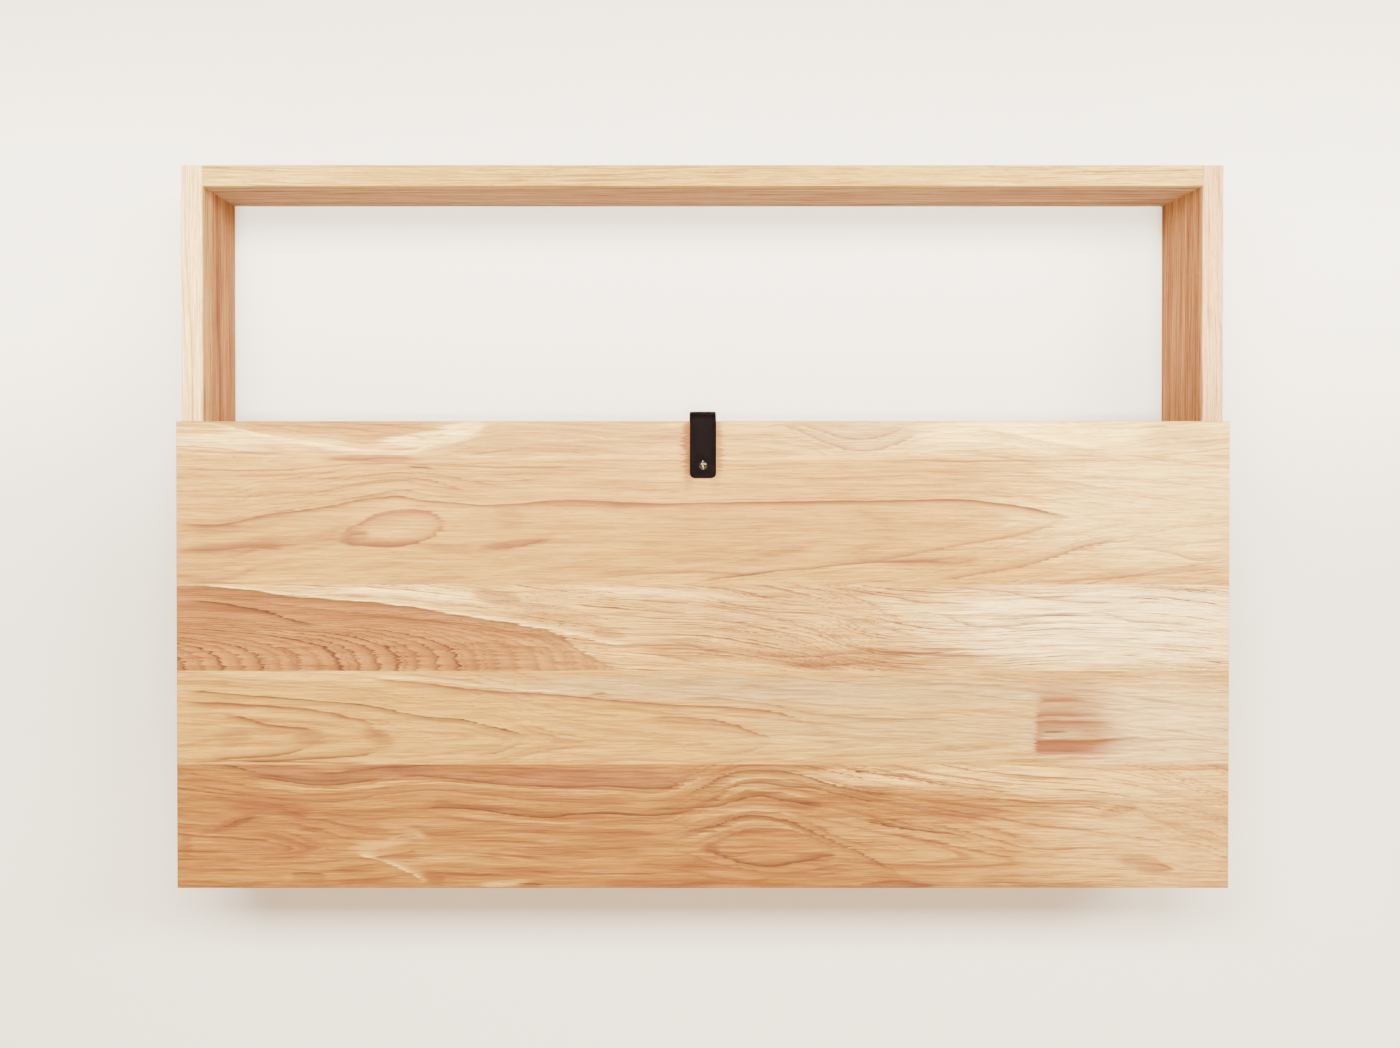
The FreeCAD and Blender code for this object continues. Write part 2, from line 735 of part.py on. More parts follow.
def make_barrel_nut():
    body = new_body("pull_barrel_nut")
    section = new_sketch(body, "barrel_section", "XY_Plane")
    draw_polygon(section, [
        ("0", "barrel_head_height"),
        ("pull_head_radius", "barrel_head_height"),
        ("pull_head_radius", "0"),
        ("barrel_radius", "0"),
        ("barrel_radius", "-barrel_length"),
        ("barrel_bore", "-barrel_length"),
        ("barrel_bore", "0"),
        ("0", "0"),
    ])
    revolve(body, "barrel_turned", section, "Y_Axis")
    place(body, depth="pull_back", height="pull_z")


# Hinges, each drawn about its own axis

def knuckle_span(index):
    """Return the two ends of one knuckle along the hinge."""
    left = f"{index} * knuckle_pitch - hinge_length / 2"
    right = f"{index + 1} * knuckle_pitch - hinge_length / 2"
    if index > 0:
        left += " + knuckle_gap / 2"
    if index < LAST_KNUCKLE:
        right += " - knuckle_gap / 2"
    return left, right


def make_leaf(label, knuckles, across, rotation=None):
    """Make a hinge leaf that lies above the axis and reaches away from it."""
    body = new_body(label)
    outline = new_sketch(body, f"{label}_outline", "XY_Plane", "leaf_inner")
    points = [("-hinge_length / 2", "leaf_reach"), ("-hinge_length / 2", "plate_start")]
    for index in knuckles:
        left, right = knuckle_span(index)
        if index > 0:
            points.append((left, "plate_start"))
        points.append((left, "0"))
        points.append((right, "0"))
        if index < LAST_KNUCKLE:
            points.append((right, "plate_start"))
    if knuckles[0] == 0:
        points.pop(1)
    if knuckles[-1] < LAST_KNUCKLE:
        points.append(("hinge_length / 2", "plate_start"))
    points.append(("hinge_length / 2", "leaf_reach"))
    draw_polygon(outline, points)
    pad(body, f"{label}_plate", outline, "leaf_thickness")
    reach = number("leaf_reach")
    ends = (number("-hinge_length / 2"), number("hinge_length / 2"))
    round_edges(body, f"{label}_corners", "leaf_corner_radius",
                lambda edge: any(lies_at(edge, X=end, Y=reach) for end in ends))
    rolls = new_sketch(body, f"{label}_rolls", "XY_Plane")
    for index in knuckles:
        left, right = knuckle_span(index)
        draw_box(rolls, left, right, "0", "knuckle_radius")
    revolve(body, f"{label}_knuckles", rolls, "X_Axis")
    bore = new_sketch(body, f"{label}_bore_circle", "YZ_Plane")
    draw_circle(bore, "0", "0", "bore_radius")
    pocket(body, f"{label}_bore", bore, "hinge_length + overrun", symmetric=True)
    holes = new_sketch(body, f"{label}_hole_circles", "XY_Plane", "leaf_inner")
    for step in (-1, 1):
        draw_circle(holes, f"{step} * leaf_screw_spacing / 2", "leaf_screw_setback",
                    "screw_hole_radius")
    pocket(body, f"{label}_holes", holes, "leaf_thickness + overrun", reversed_way=True)
    place(body, across, "axis_y", "axis_z", rotation)


def make_hinge(name):
    across = f"{HANDS[name]} * hinge_spacing / 2"
    make_leaf(f"{name}_hinge_carcass_leaf", CARCASS_KNUCKLES, across)
    hang_down = FreeCAD.Rotation(Vector(1, 0, 0), 90) * FreeCAD.Rotation(Vector(0, 0, 1), 180)
    make_leaf(f"{name}_hinge_flap_leaf", FLAP_KNUCKLES, across, hang_down)
    pin = new_body(f"{name}_hinge_pin")
    section = new_sketch(pin, f"{name}_pin_section", "YZ_Plane")
    draw_circle(section, "0", "0", "hinge_pin_radius")
    pad(pin, f"{name}_pin_rod", section, "hinge_length", symmetric=True)
    place(pin, across, "axis_y", "axis_z")


# Quadrant stays, drawn about the hinge axis

def make_stay(hand):
    """Bend the stay as an arc about the hinge axis with a foot on the flap."""
    sign = HANDS[hand]
    label = f"{hand}_quadrant_stay"
    body = new_body(label)
    foot = new_sketch(body, f"{label}_foot_outline", "XZ_Plane", "axis_back_of_flap")
    centre = f"{sign} * foot_x"
    draw_box(foot, f"{centre} - stay_foot_width / 2", f"{centre} + stay_foot_width / 2",
             "stay_radius - stay_foot_height / 2", "stay_radius + stay_foot_height / 2")
    pad(body, f"{label}_foot", foot, "stay_foot_thickness", reversed_way=True)
    inner_end = number(f"{sign} * (foot_x - stay_foot_width / 2)")
    round_edges(body, f"{label}_foot_corners", "stay_foot_corner",
                lambda edge: lies_at(edge, X=inner_end, Z=edge.Vertexes[0].Z))
    band = new_sketch(body, f"{label}_band_section", "XZ_Plane")
    draw_box(band, f"{sign} * stay_x - stay_thickness / 2", f"{sign} * stay_x + stay_thickness / 2",
             "stay_inner_radius", "stay_outer_radius")
    arc = body.newObject("PartDesign::Revolution", f"{label}_arc")
    arc.Profile = band
    arc.ReferenceAxis = (origin_feature(body, "X_Axis"), [""])
    arc.Type = "TwoAngles"
    arc.Reversed = True
    bind(arc, Angle="tail_angle", Angle2="stay_root_angle")
    document.recompute()
    round_edges(body, f"{label}_tail_round", "stay_tail_corner", is_tail_corner)
    pin_hole = new_sketch(body, f"{label}_pin_hole", "YZ_Plane", f"{sign} * stay_x")
    draw_circle(pin_hole, "stay_radius * sin(stop_angle)", "stay_radius * cos(stop_angle)",
                "stop_pin_radius")
    pocket(body, f"{label}_pin_bore", pin_hole, "stay_thickness + overrun", symmetric=True)
    holes = new_sketch(body, f"{label}_foot_holes", "XZ_Plane",
                       "axis_back_of_flap - stay_foot_thickness")
    for step in (-1, 1):
        draw_circle(holes, f"{sign} * foot_screw_x", f"stay_radius + {step} * stay_screw_spacing / 2",
                    "screw_hole_radius")
    pocket(body, f"{label}_holes", holes, "stay_foot_thickness + overrun", reversed_way=True)
    place(body, "0", "axis_y", "axis_z")


def is_tail_corner(edge):
    """Pick the two short edges at the corners of the arc's free end."""
    if len(edge.Vertexes) != 2:
        return False
    one, other = edge.Vertexes
    level = abs(one.Y - other.Y) < FIT and abs(one.Z - other.Z) < FIT
    return level and one.Z < 0


def make_guide(hand):
    """Cut the arc's slot through the block that guides and stops the stay."""
    sign = HANDS[hand]
    label = f"{hand}_stay_guide"
    body = new_body(label)
    outline = new_sketch(body, f"{label}_outline", "YZ_Plane", f"{sign} * guide_x")
    draw_box(outline, "guide_front", "guide_rear", "stay_radius - guide_height / 2",
             "stay_radius + guide_height / 2")
    pad(body, f"{label}_block", outline, "guide_width", symmetric=True)
    inner = number(f"{sign} * (guide_x - guide_width / 2)")
    round_edges(body, f"{label}_rounds", "guide_corner_radius",
                lambda edge: lies_at(edge, X=inner, Z=edge.Vertexes[0].Z))
    slot = new_sketch(body, f"{label}_slot_section", "XZ_Plane")
    draw_box(slot, f"{sign} * stay_x - stay_thickness / 2 - guide_slot_clearance",
             f"{sign} * stay_x + stay_thickness / 2 + guide_slot_clearance",
             "stay_inner_radius - guide_slot_clearance", "stay_outer_radius + guide_slot_clearance")
    groove(body, f"{label}_slot", slot, "X_Axis")
    place(body, "0", "axis_y", "axis_z")


def make_stop_pin(hand):
    sign = HANDS[hand]
    body = new_body(f"{hand}_stop_pin")
    section = new_sketch(body, f"{hand}_stop_pin_section", "YZ_Plane", f"{sign} * stay_x")
    draw_circle(section, "stay_radius * sin(stop_angle)", "stay_radius * cos(stop_angle)",
                "stop_pin_radius - glue_clearance")
    pad(body, f"{hand}_stop_pin_rod", section, "stop_pin_length", symmetric=True)
    place(body, "0", "axis_y", "axis_z")


# Wall bar and hanging bar, two folded profiles that hook together, drawn
# about the wall bar's screw line

def make_wall_bar():
    body = new_body("wall_bar")
    section = new_sketch(body, "wall_bar_section", "YZ_Plane")
    draw_polygon(section, [
        ("0", "-bar_flange_below"),
        ("0", "wall_web_top"),
        ("wall_lip_back", "wall_web_top"),
        ("wall_lip_back", "wall_lip_top"),
        ("wall_lip_front", "wall_lip_top"),
        ("wall_lip_front", "bar_flange_above"),
        ("-bar_wall", "bar_flange_above"),
        ("-bar_wall", "-bar_flange_below"),
    ])
    pad(body, "wall_bar_length", section, "bar_length", symmetric=True)
    holes = new_sketch(body, "wall_bar_holes", "XZ_Plane", "bar_wall")
    for sign in HANDS.values():
        for across in ("bar_hole_spacing / 2", "bar_end_hole"):
            draw_circle(holes, f"{sign} * ({across})", "0", "bar_hole_radius")
    pocket(body, "wall_bar_bores", holes, "bar_wall + overrun")
    place(body, height="bar_line")


def make_hanging_bar():
    body = new_body("hanging_bar")
    section = new_sketch(body, "hanging_bar_section", "YZ_Plane")
    draw_polygon(section, [
        ("rail_back", "wall_lip_top"),
        ("-bar_gap - bar_wall", "wall_lip_top"),
        ("-bar_gap - bar_wall", "wall_lip_top - hanging_lip"),
        ("-bar_gap", "wall_lip_top - hanging_lip"),
        ("-bar_gap", "hanging_web_top"),
        ("rail_back + bar_wall", "hanging_web_top"),
        ("rail_back + bar_wall", "hanging_top"),
        ("rail_back", "hanging_top"),
    ])
    pad(body, "hanging_bar_length", section, "bar_length", symmetric=True)
    holes = new_sketch(body, "hanging_bar_holes", "XZ_Plane", "-rail_back - bar_wall")
    for across in ("-bar_end_hole", "bar_end_hole - hanging_hole_spacing", "bar_end_hole"):
        draw_circle(holes, across, "hanging_hole_z", "screw_hole_radius")
    pocket(body, "hanging_bar_bores", holes, "bar_wall + overrun", reversed_way=True)
    place(body, height="bar_line")


def make_everything():
    for hand in HANDS:
        make_side(hand)
    make_top_board()
    make_middle_shelf()
    make_bottom_board()
    make_back_panel()
    make_mounting_rail()
    make_letter_shelf()
    for hand in HANDS:
        make_divider(hand)
        make_tongues(hand)
    make_magnets()
    make_bumper_pads()
    make_staves()
    make_strikes()
    make_leather_pull()
    make_pull_screw()
    make_barrel_nut()
    for hand in HANDS:
        make_hinge(hand)
        make_stay(hand)
        make_guide(hand)
        make_stop_pin(hand)
    make_wall_bar()
    make_hanging_bar()


def check_document():
    document.recompute()
    for thing in document.Objects:
        if "Invalid" in thing.State or "Error" in thing.State:
            raise RuntimeError(f"{thing.Name} failed: {thing.State}")
    for label, body in subparts.items():
        if body.Shape.isNull() or not body.Shape.isValid():
            raise RuntimeError(f"{label} has no valid shape")


def export_parts():
    os.makedirs("parts", exist_ok=True)
    for label, body in subparts.items():
        body.Shape.exportStep(f"parts/{label}.step")
        print(f"{label}: {len(body.Shape.Solids)} solid(s), {body.Shape.Volume / 1000:.2f} cm3")


# Largest distance at which two places count as the same
FIT = 1e-4

fill_sheet(sizes, SIZES, str)
fill_sheet(places, PLACES, lambda text: "=" + formula(text))
make_everything()
check_document()
export_parts()
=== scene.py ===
"""Looks of a wall desk with a fall front, a leather pull and brass fittings.

Lengths named *_mm are millimetres; meshes and lights are in metres. X runs
along the desk to the right, -Y points at the person who uses it and Z is up.
The wood patterns are worked out in millimetres of the same frame.
"""

import logging
import math
from dataclasses import dataclass
from enum import Enum

import bmesh
import bpy
import numpy as np
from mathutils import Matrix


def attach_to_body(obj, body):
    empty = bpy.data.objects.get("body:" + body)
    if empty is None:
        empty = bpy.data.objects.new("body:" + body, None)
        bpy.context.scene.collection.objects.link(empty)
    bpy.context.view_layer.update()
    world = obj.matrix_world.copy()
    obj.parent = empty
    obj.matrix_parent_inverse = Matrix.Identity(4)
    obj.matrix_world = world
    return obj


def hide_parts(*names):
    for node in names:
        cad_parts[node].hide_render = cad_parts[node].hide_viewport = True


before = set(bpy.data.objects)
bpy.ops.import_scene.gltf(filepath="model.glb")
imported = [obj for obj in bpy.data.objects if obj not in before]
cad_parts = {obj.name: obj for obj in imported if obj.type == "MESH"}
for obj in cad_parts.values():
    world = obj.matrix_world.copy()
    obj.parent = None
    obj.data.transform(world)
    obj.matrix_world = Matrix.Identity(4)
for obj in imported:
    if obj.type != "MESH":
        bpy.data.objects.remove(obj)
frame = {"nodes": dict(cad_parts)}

log = logging.getLogger("wall_desk")

Triple = tuple[float, float, float]
Colour = Triple
Point = tuple[float, float]

MM = 0.001


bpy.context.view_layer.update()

# Colours of the wood, as shares of the light they send back
IVORY = (0.95, 0.76, 0.36)
CREAM = (0.95, 0.72, 0.25)
WHEAT = (0.70, 0.46, 0.115)
SAND = (0.52, 0.315, 0.062)
TAN = (0.354, 0.190, 0.034)
HONEY = (0.252, 0.111, 0.0197)
ROSE = (0.214, 0.090, 0.028)
RUST = (0.144, 0.047, 0.015)
UMBER = (0.077, 0.0265, 0.0115)
DUSK = (0.375, 0.259, 0.10)
BARK = (0.046, 0.015, 0.008)


def paint(red: float, green: float, blue: float) -> Colour:
    """Turn a colour as a paint card gives it into linear light.

    Args:
        red, green, blue: shares of 255.

    Returns:
        Linear red, green and blue.
    """
    def linear(share: float) -> float:
        """Undo the display curve of one share."""
        value = share / 255
        return value / 12.92 if value <= 0.04045 else ((value + 0.055) / 1.055) ** 2.4
    return linear(red), linear(green), linear(blue)


class Grain(Enum):
    """How a board lies: the axes of its length, its width and its thickness."""

    ALONG_DESK_UPRIGHT = "XZY"
    ALONG_DESK_FLAT = "XYZ"
    STANDING = "ZYX"


class Noise(Enum):
    """Kinds of noise: size of a grain on three axes in mm, detail and roughness."""

    STREAK = ((40, 1.3, 1.3), 3.0, 0.6)
    HAIR = ((16, 0.7, 0.7), 2.0, 0.7)
    FLAME = ((130, 6.0, 6.0), 4.0, 0.62)
    DASH = ((11, 0.8, 0.8), 1.0, 0.5)
    CLOUD = ((120, 34, 34), 2.0, 0.5)
    WANDER = ((150, 36, 70), 2.0, 0.5)
    RIPPLE = ((30, 7, 14), 2.0, 0.5)
    VENEER = ((210, 90, 60), 2.0, 0.5)
    BRUSH = ((9, 0.11, 0.11), 2.0, 0.6)
    SMUDGE = ((14, 9, 9), 3.0, 0.55)
    PIT = ((0.6, 0.6, 0.6), 2.0, 0.5)
    PEBBLE = ((0.35, 0.35, 0.35), 2.0, 0.5)
    DUST = ((3, 3, 3), 3.0, 0.5)
    CREASE = ((1.4, 1.4, 1.4), 2.0, 0.5)
    PULL_UP = ((9, 5, 13), 3.0, 0.6)
    MOTTLE = ((420, 420, 420), 3.0, 0.5)


# Shader values that read like sums

class Wire:
    """A value in a material that can be added to, scaled and led between levels."""

    def __init__(self, bench: "Bench", socket: bpy.types.NodeSocket) -> None:
        """Keep the bench that the value was made on and its socket."""
        self.bench = bench
        self.socket = socket

    def __add__(self, other: "Wire | float") -> "Wire":
        """Add another value."""
        return self.bench.math("ADD", self, other)

    __radd__ = __add__

    def __sub__(self, other: "Wire | float") -> "Wire":
        """Take another value away."""
        return self.bench.math("SUBTRACT", self, other)

    def __rsub__(self, other: float) -> "Wire":
        """Take this value away from a number."""
        return self.bench.math("SUBTRACT", other, self)

    def __mul__(self, other: "Wire | float") -> "Wire":
        """Multiply by another value."""
        return self.bench.math("MULTIPLY", self, other)

    def __truediv__(self, other: "Wire | float") -> "Wire":
        """Divide by another value."""
        return self.bench.math("DIVIDE", self, other)

    def __neg__(self) -> "Wire":
        """Turn the sign round."""
        return self * -1.0

    def __abs__(self) -> "Wire":
        """Drop the sign."""
        return self.bench.math("ABSOLUTE", self)

    def power(self, exponent: float) -> "Wire":
        """Raise to a power."""
        return self.bench.math("POWER", self, exponent)

    def fraction(self) -> "Wire":
        """Return what lies above the next lower whole number."""
        return self.bench.math("FRACT", self)

    def clamped(self) -> "Wire":
        """Hold the value between 0 and 1."""
        return self.bench.math("ADD", self, 0.0, clamp=True)

    def ramp(self, low: float, high: float, first: float = 0.0, last: float = 1.0) -> "Wire":
        """Lead the value smoothly from one level to another.

        Args:
            low, high: where the change starts and ends.
            first, last: the levels below and above it.

        Returns:
            The level.
        """
        made = self.bench.node("ShaderNodeMapRange", interpolation_type="SMOOTHSTEP")
        for socket, given in zip(made.inputs, (self, low, high, first, last)):
            self.bench.feed(socket, given)
        return Wire(self.bench, made.outputs[0])


Place = tuple[Wire, Wire, Wire]


class Bench:
    """A node tree under construction."""

    def __init__(self, tree: bpy.types.NodeTree) -> None:
        """Start on a tree."""
        self.tree = tree

    def node(self, kind: str, **settings: object) -> bpy.types.Node:
        """Put a node on the bench.

        Args:
            kind: Blender's name of the node.
            settings: the node's own properties.

        Returns:
            The node.
        """
        made = self.tree.nodes.new(kind)
        for name, value in settings.items():
            setattr(made, name, value)
        return made

    def feed(self, socket: bpy.types.NodeSocket, value: object) -> None:
        """Join a value to a socket, or type a plain one in.

        Args:
            socket: where the value goes.
            value: a value of this bench, a number or a colour.
        """
        if isinstance(value, Wire):
            self.tree.links.new(value.socket, socket)
        elif isinstance(value, tuple) and len(value) == 3 and socket.type == "RGBA":
            socket.default_value = (*value, 1.0)
        else:
            socket.default_value = value

    def math(self, operation: str, *values: object, clamp: bool = False) -> Wire:
        """Work out one sum.

        Args:
            operation: what to do with the values.
            values: numbers or values of this bench.
            clamp: whether to hold the answer between 0 and 1.

        Returns:
            The answer.
        """
        made = self.node("ShaderNodeMath", operation=operation, use_clamp=clamp)
        for socket, value in zip(made.inputs, values):
            self.feed(socket, value)
        return Wire(self, made.outputs[0])

    def joined(self, kind: str, *parts: object) -> Wire:
        """Join three values into one.

        Args:
            kind: Blender's name of the node, which makes a vector or a colour.
            parts: the three values.

        Returns:
            The vector or colour.
        """
        made = self.node(kind)
        for socket, value in zip(made.inputs, parts):
            self.feed(socket, value)
        return Wire(self, made.outputs[0])

    def vector(self, *parts: object) -> Wire:
        """Join three values into one vector."""
        return self.joined("ShaderNodeCombineXYZ", *parts)

    def noise_at(self, where: Wire, detail: float = 2.0, roughness: float = 0.5) -> Wire:
        """Work out smooth noise at a place.

        Args:
            where: a vector whose unit is one grain.
            detail: how many finer layers lie over the noise.
            roughness: how strong they are.

        Returns:
            The noise, about 0.5.
        """
        made = self.node("ShaderNodeTexNoise", noise_dimensions="3D")
        for name, value in (("Vector", where), ("Scale", 1.0), ("Detail", detail),
                            ("Roughness", roughness)):
            self.feed(made.inputs[name], value)
        return Wire(self, made.outputs["Fac"])

    def noise(self, kind: Noise, place: Place, shift: float = 0.0) -> Wire:
        """Work out one kind of noise.

        Args:
            kind: its grain.
            place: the place along the three axes of the grain, in millimetres.
            shift: moves the noise along the third axis, in grains.

        Returns:
            The noise, about 0.5.
        """
        sizes, detail, roughness = kind.value
        first, second, third = (part / size for part, size in zip(place, sizes))
        return self.noise_at(self.vector(first, second, third + shift if shift else third),
                             detail, roughness)

    def noise_of(self, value: Wire, detail: float = 1.0) -> Wire:
        """Work out smooth noise of a single value.

        Args:
            value: the value, whose unit is one grain.
            detail: how many finer layers lie over the noise.

        Returns:
            The noise, about 0.5.
        """
        made = self.node("ShaderNodeTexNoise", noise_dimensions="1D")
        for name, given in (("W", value), ("Scale", 1.0), ("Detail", detail)):
            self.feed(made.inputs[name], given)
        return Wire(self, made.outputs["Fac"])

    def blend(self, factor: object, first: object, second: object, way: str = "MIX") -> Wire:
        """Mix two colours.

        Args:
            factor: how much of the second.
            first, second: the colours.
            way: how they are mixed.

        Returns:
            The mixed colour.
        """
        made = self.node("ShaderNodeMix", data_type="RGBA", blend_type=way)
        self.feed(made.inputs[0], factor)
        self.feed(made.inputs[6], first)
        self.feed(made.inputs[7], second)
        return Wire(self, made.outputs[2])

    def line_through(self, value: Wire, points: tuple[Point, ...]) -> Wire:
        """Read the height of a smooth line through some points.

        The points lie within half a metre along the line and 400 mm across it.

        Args:
            value: the place along the line, in millimetres.
            points: places along and across, in millimetres.

        Returns:
            The place across, in millimetres.
        """
        half_length, half_width = 500, 400
        made = self.node("ShaderNodeFloatCurve")
        curve = made.mapping.curves[0]
        spots = [((along / half_length + 1) / 2, (across / half_width + 1) / 2)
                 for along, across in points]
        while len(curve.points) < len(spots):
            curve.points.new(0.5, 0.5)
        for knot, spot in zip(curve.points, sorted(spots)):
            knot.location = spot
        made.mapping.update()
        self.feed(made.inputs["Value"], (value + half_length) / (2 * half_length))
        return Wire(self, made.outputs[0]) * (2 * half_width) - half_width

    def effect(self, name: str, **given: object) -> dict[str, Wire]:
        """Place a shared effect.

        Args:
            name: the effect's name.
            given: its inputs, with underscores for spaces.

        Returns:
            Its outputs by name.
        """
        made = self.node("ShaderNodeGroup", node_tree=Effect.made[name])
        for socket, value in given.items():
            self.feed(made.inputs[socket.replace("_", " ")], value)
        return {socket.name: Wire(self, socket) for socket in made.outputs}

    def place_in_mm(self) -> Place:
        """Work out the place on the piece.

        Returns:
            The place along X, Y and Z, in millimetres.
        """
        where = self.node("ShaderNodeTexCoord")
        scaled = self.node("ShaderNodeVectorMath", operation="SCALE")
        self.tree.links.new(where.outputs["Object"], scaled.inputs[0])
        scaled.inputs["Scale"].default_value = 1 / MM
        return self.apart(scaled.outputs[0])

    def apart(self, vector: bpy.types.NodeSocket) -> Place:
        """Take a vector apart.

        Args:
            vector: the vector's socket.

        Returns:
            Its three values.
        """
        made = self.node("ShaderNodeSeparateXYZ")
        self.tree.links.new(vector, made.inputs[0])
        return tuple(Wire(self, socket) for socket in made.outputs)


class Effect:
    """A node group with named inputs and outputs, built once."""

    made: dict[str, bpy.types.NodeTree] = {}

    def __init__(self, name: str, inputs: dict[str, float], outputs: tuple[str, ...]) -> None:
        """Lay out the sockets of an effect.

        Args:
            name: the group's name.
            inputs: name and value of each input.
            outputs: names of the outputs.
        """
        self.tree = bpy.data.node_groups.new(name, "ShaderNodeTree")
        for socket, value in inputs.items():
            item = self.tree.interface.new_socket(socket, in_out="INPUT",
                                                  socket_type="NodeSocketFloat")
            item.default_value = value
        for socket in outputs:
            self.tree.interface.new_socket(socket, in_out="OUTPUT", socket_type="NodeSocketFloat")
        self.bench = Bench(self.tree)
        self.entry = self.bench.node("NodeGroupInput")
        self.exit = self.bench.node("NodeGroupOutput")
        Effect.made[name] = self.tree

    def given(self, *names: str) -> list[Wire]:
        """Return some of the effect's inputs."""
        return [Wire(self.bench, self.entry.outputs[name]) for name in names]

    def give(self, name: str, value: Wire) -> None:
        """Join a value to one of the effect's outputs."""
        self.bench.feed(self.exit.inputs[name], value)


def build_patch() -> None:
    """Build a soft oval patch: exp of minus the squared distance from its centre.

    The distance is measured in half lengths along the patch and half heights
    across it, after turning by the tilt in radians.
    """
    effect = Effect("soft patch", {"Along": 0, "Across": 0, "Centre Along": 0, "Centre Across": 0,
                                   "Half Length": 50, "Half Height": 15, "Tilt": 0}, ("Mask",))
    bench = effect.bench
    along, across, centre_along, centre_across, half_length, half_height, tilt = effect.given(
        "Along", "Across", "Centre Along", "Centre Across", "Half Length", "Half Height", "Tilt")
    along, across = along - centre_along, across - centre_across
    cosine, sine = bench.math("COSINE", tilt), bench.math("SINE", tilt)
    length = (along * cosine + across * sine) / half_length
    height = (across * cosine - along * sine) / half_height
    effect.give("Mask", bench.math("EXPONENT", -(length * length + height * height)))


def build_rings() -> None:
    """Build growth rings from a ring count.

    The count is shaken by slow noise of itself, so the rings differ in width.
    A line darkens as the count nears the next whole number and stops short
    there, and each ring has a strength of its own. Finer lines lie between.
    """
    effect = Effect("growth rings", {"Count": 0}, ("Line", "Band", "Fine"))
    bench = effect.bench
    count, = effect.given("Count")
    shaken = count + bench.noise_of(count * 0.55, 2.0) * 2.2
    part = shaken.fraction()
    strength = bench.noise_of((shaken - part) * 3.71, 0.0).ramp(0.34, 0.66, 0.12, 1.0)
    effect.give("Line", part.power(6.0) * part.ramp(0.92, 1.0, 1.0, 0.0) * strength * 1.6)
    effect.give("Band", bench.noise_of(count * 0.31 + 17.3, 3.0))
    fine = (shaken * 3.3 + bench.noise_of(count * 2.3) * 1.8).fraction()
    effect.give("Fine", fine.power(3.0) * fine.ramp(0.86, 1.0, 1.0, 0.0))


def build_stroke() -> None:
    """Build one growth line from the distance to it in millimetres.

    The line is crisp below a distance of 0 and dies away above it, as the
    exponential of minus the distance over the fade. It starts and ends
    softly between two places along the board.
    """
    effect = Effect("growth line", {"Distance": 0, "Crisp": 1, "Fade": 2, "Along": 0,
                                    "Start": -500, "End": 500, "Soft Start": 26,
                                    "Soft End": 26}, ("Mask",))
    bench = effect.bench
    distance, crisp, fade, along, start, end, soft_start, soft_end = effect.given(
        "Distance", "Crisp", "Fade", "Along", "Start", "End", "Soft Start", "Soft End")
    edge = (distance / crisp).ramp(-1.0, 0.0)
    body = bench.math("EXPONENT", -(bench.math("MAXIMUM", distance, 0.0) / fade))
    begun = ((along - start) / soft_start).ramp(0.0, 1.0)
    unfinished = ((end - along) / soft_end).ramp(0.0, 1.0)
    effect.give("Mask", edge * body * begun * unfinished)


def build_fibre() -> None:
    """Build the fibre of wood from a place in millimetres.

    Streaks and hairs are noise drawn out along the board, flames are the same
    but wider, pores are short thin dashes and clouds are slow and soft.
    """
    effect = Effect("wood fibre", {"Along": 0, "Across": 0, "Depth": 0},
                    ("Streak", "Hair", "Flame", "Pore", "Cloud"))
    place = effect.given("Along", "Across", "Depth")
    for name, kind in (("Streak", Noise.STREAK), ("Hair", Noise.HAIR), ("Flame", Noise.FLAME),
                       ("Cloud", Noise.CLOUD)):
        effect.give(name, effect.bench.noise(kind, place))
    effect.give("Pore", effect.bench.noise(Noise.DASH, place).ramp(0.58, 0.70))


def build_wear() -> None:
    """Build the handling marks of metal: a brushed line, a soft smudge and small pits."""
    effect = Effect("handled metal", {"Along": 0, "Across": 0, "Depth": 0},
                    ("Brush", "Smudge", "Pit"))
    place = effect.given("Along", "Across", "Depth")
    effect.give("Brush", effect.bench.noise(Noise.BRUSH, place))
    effect.give("Smudge", effect.bench.noise(Noise.SMUDGE, place))
    effect.give("Pit", effect.bench.noise(Noise.PIT, place).ramp(0.66, 0.74))


# Finishes

@dataclass
class Look:
    """What a surface shader is fed with, and how far its relief stands out."""

    colour: Wire
    roughness: Wire | float
    height: Wire | None = None
    relief_mm: float = 0.0
    metallic: float = 0.0
    gloss: float = 0.5


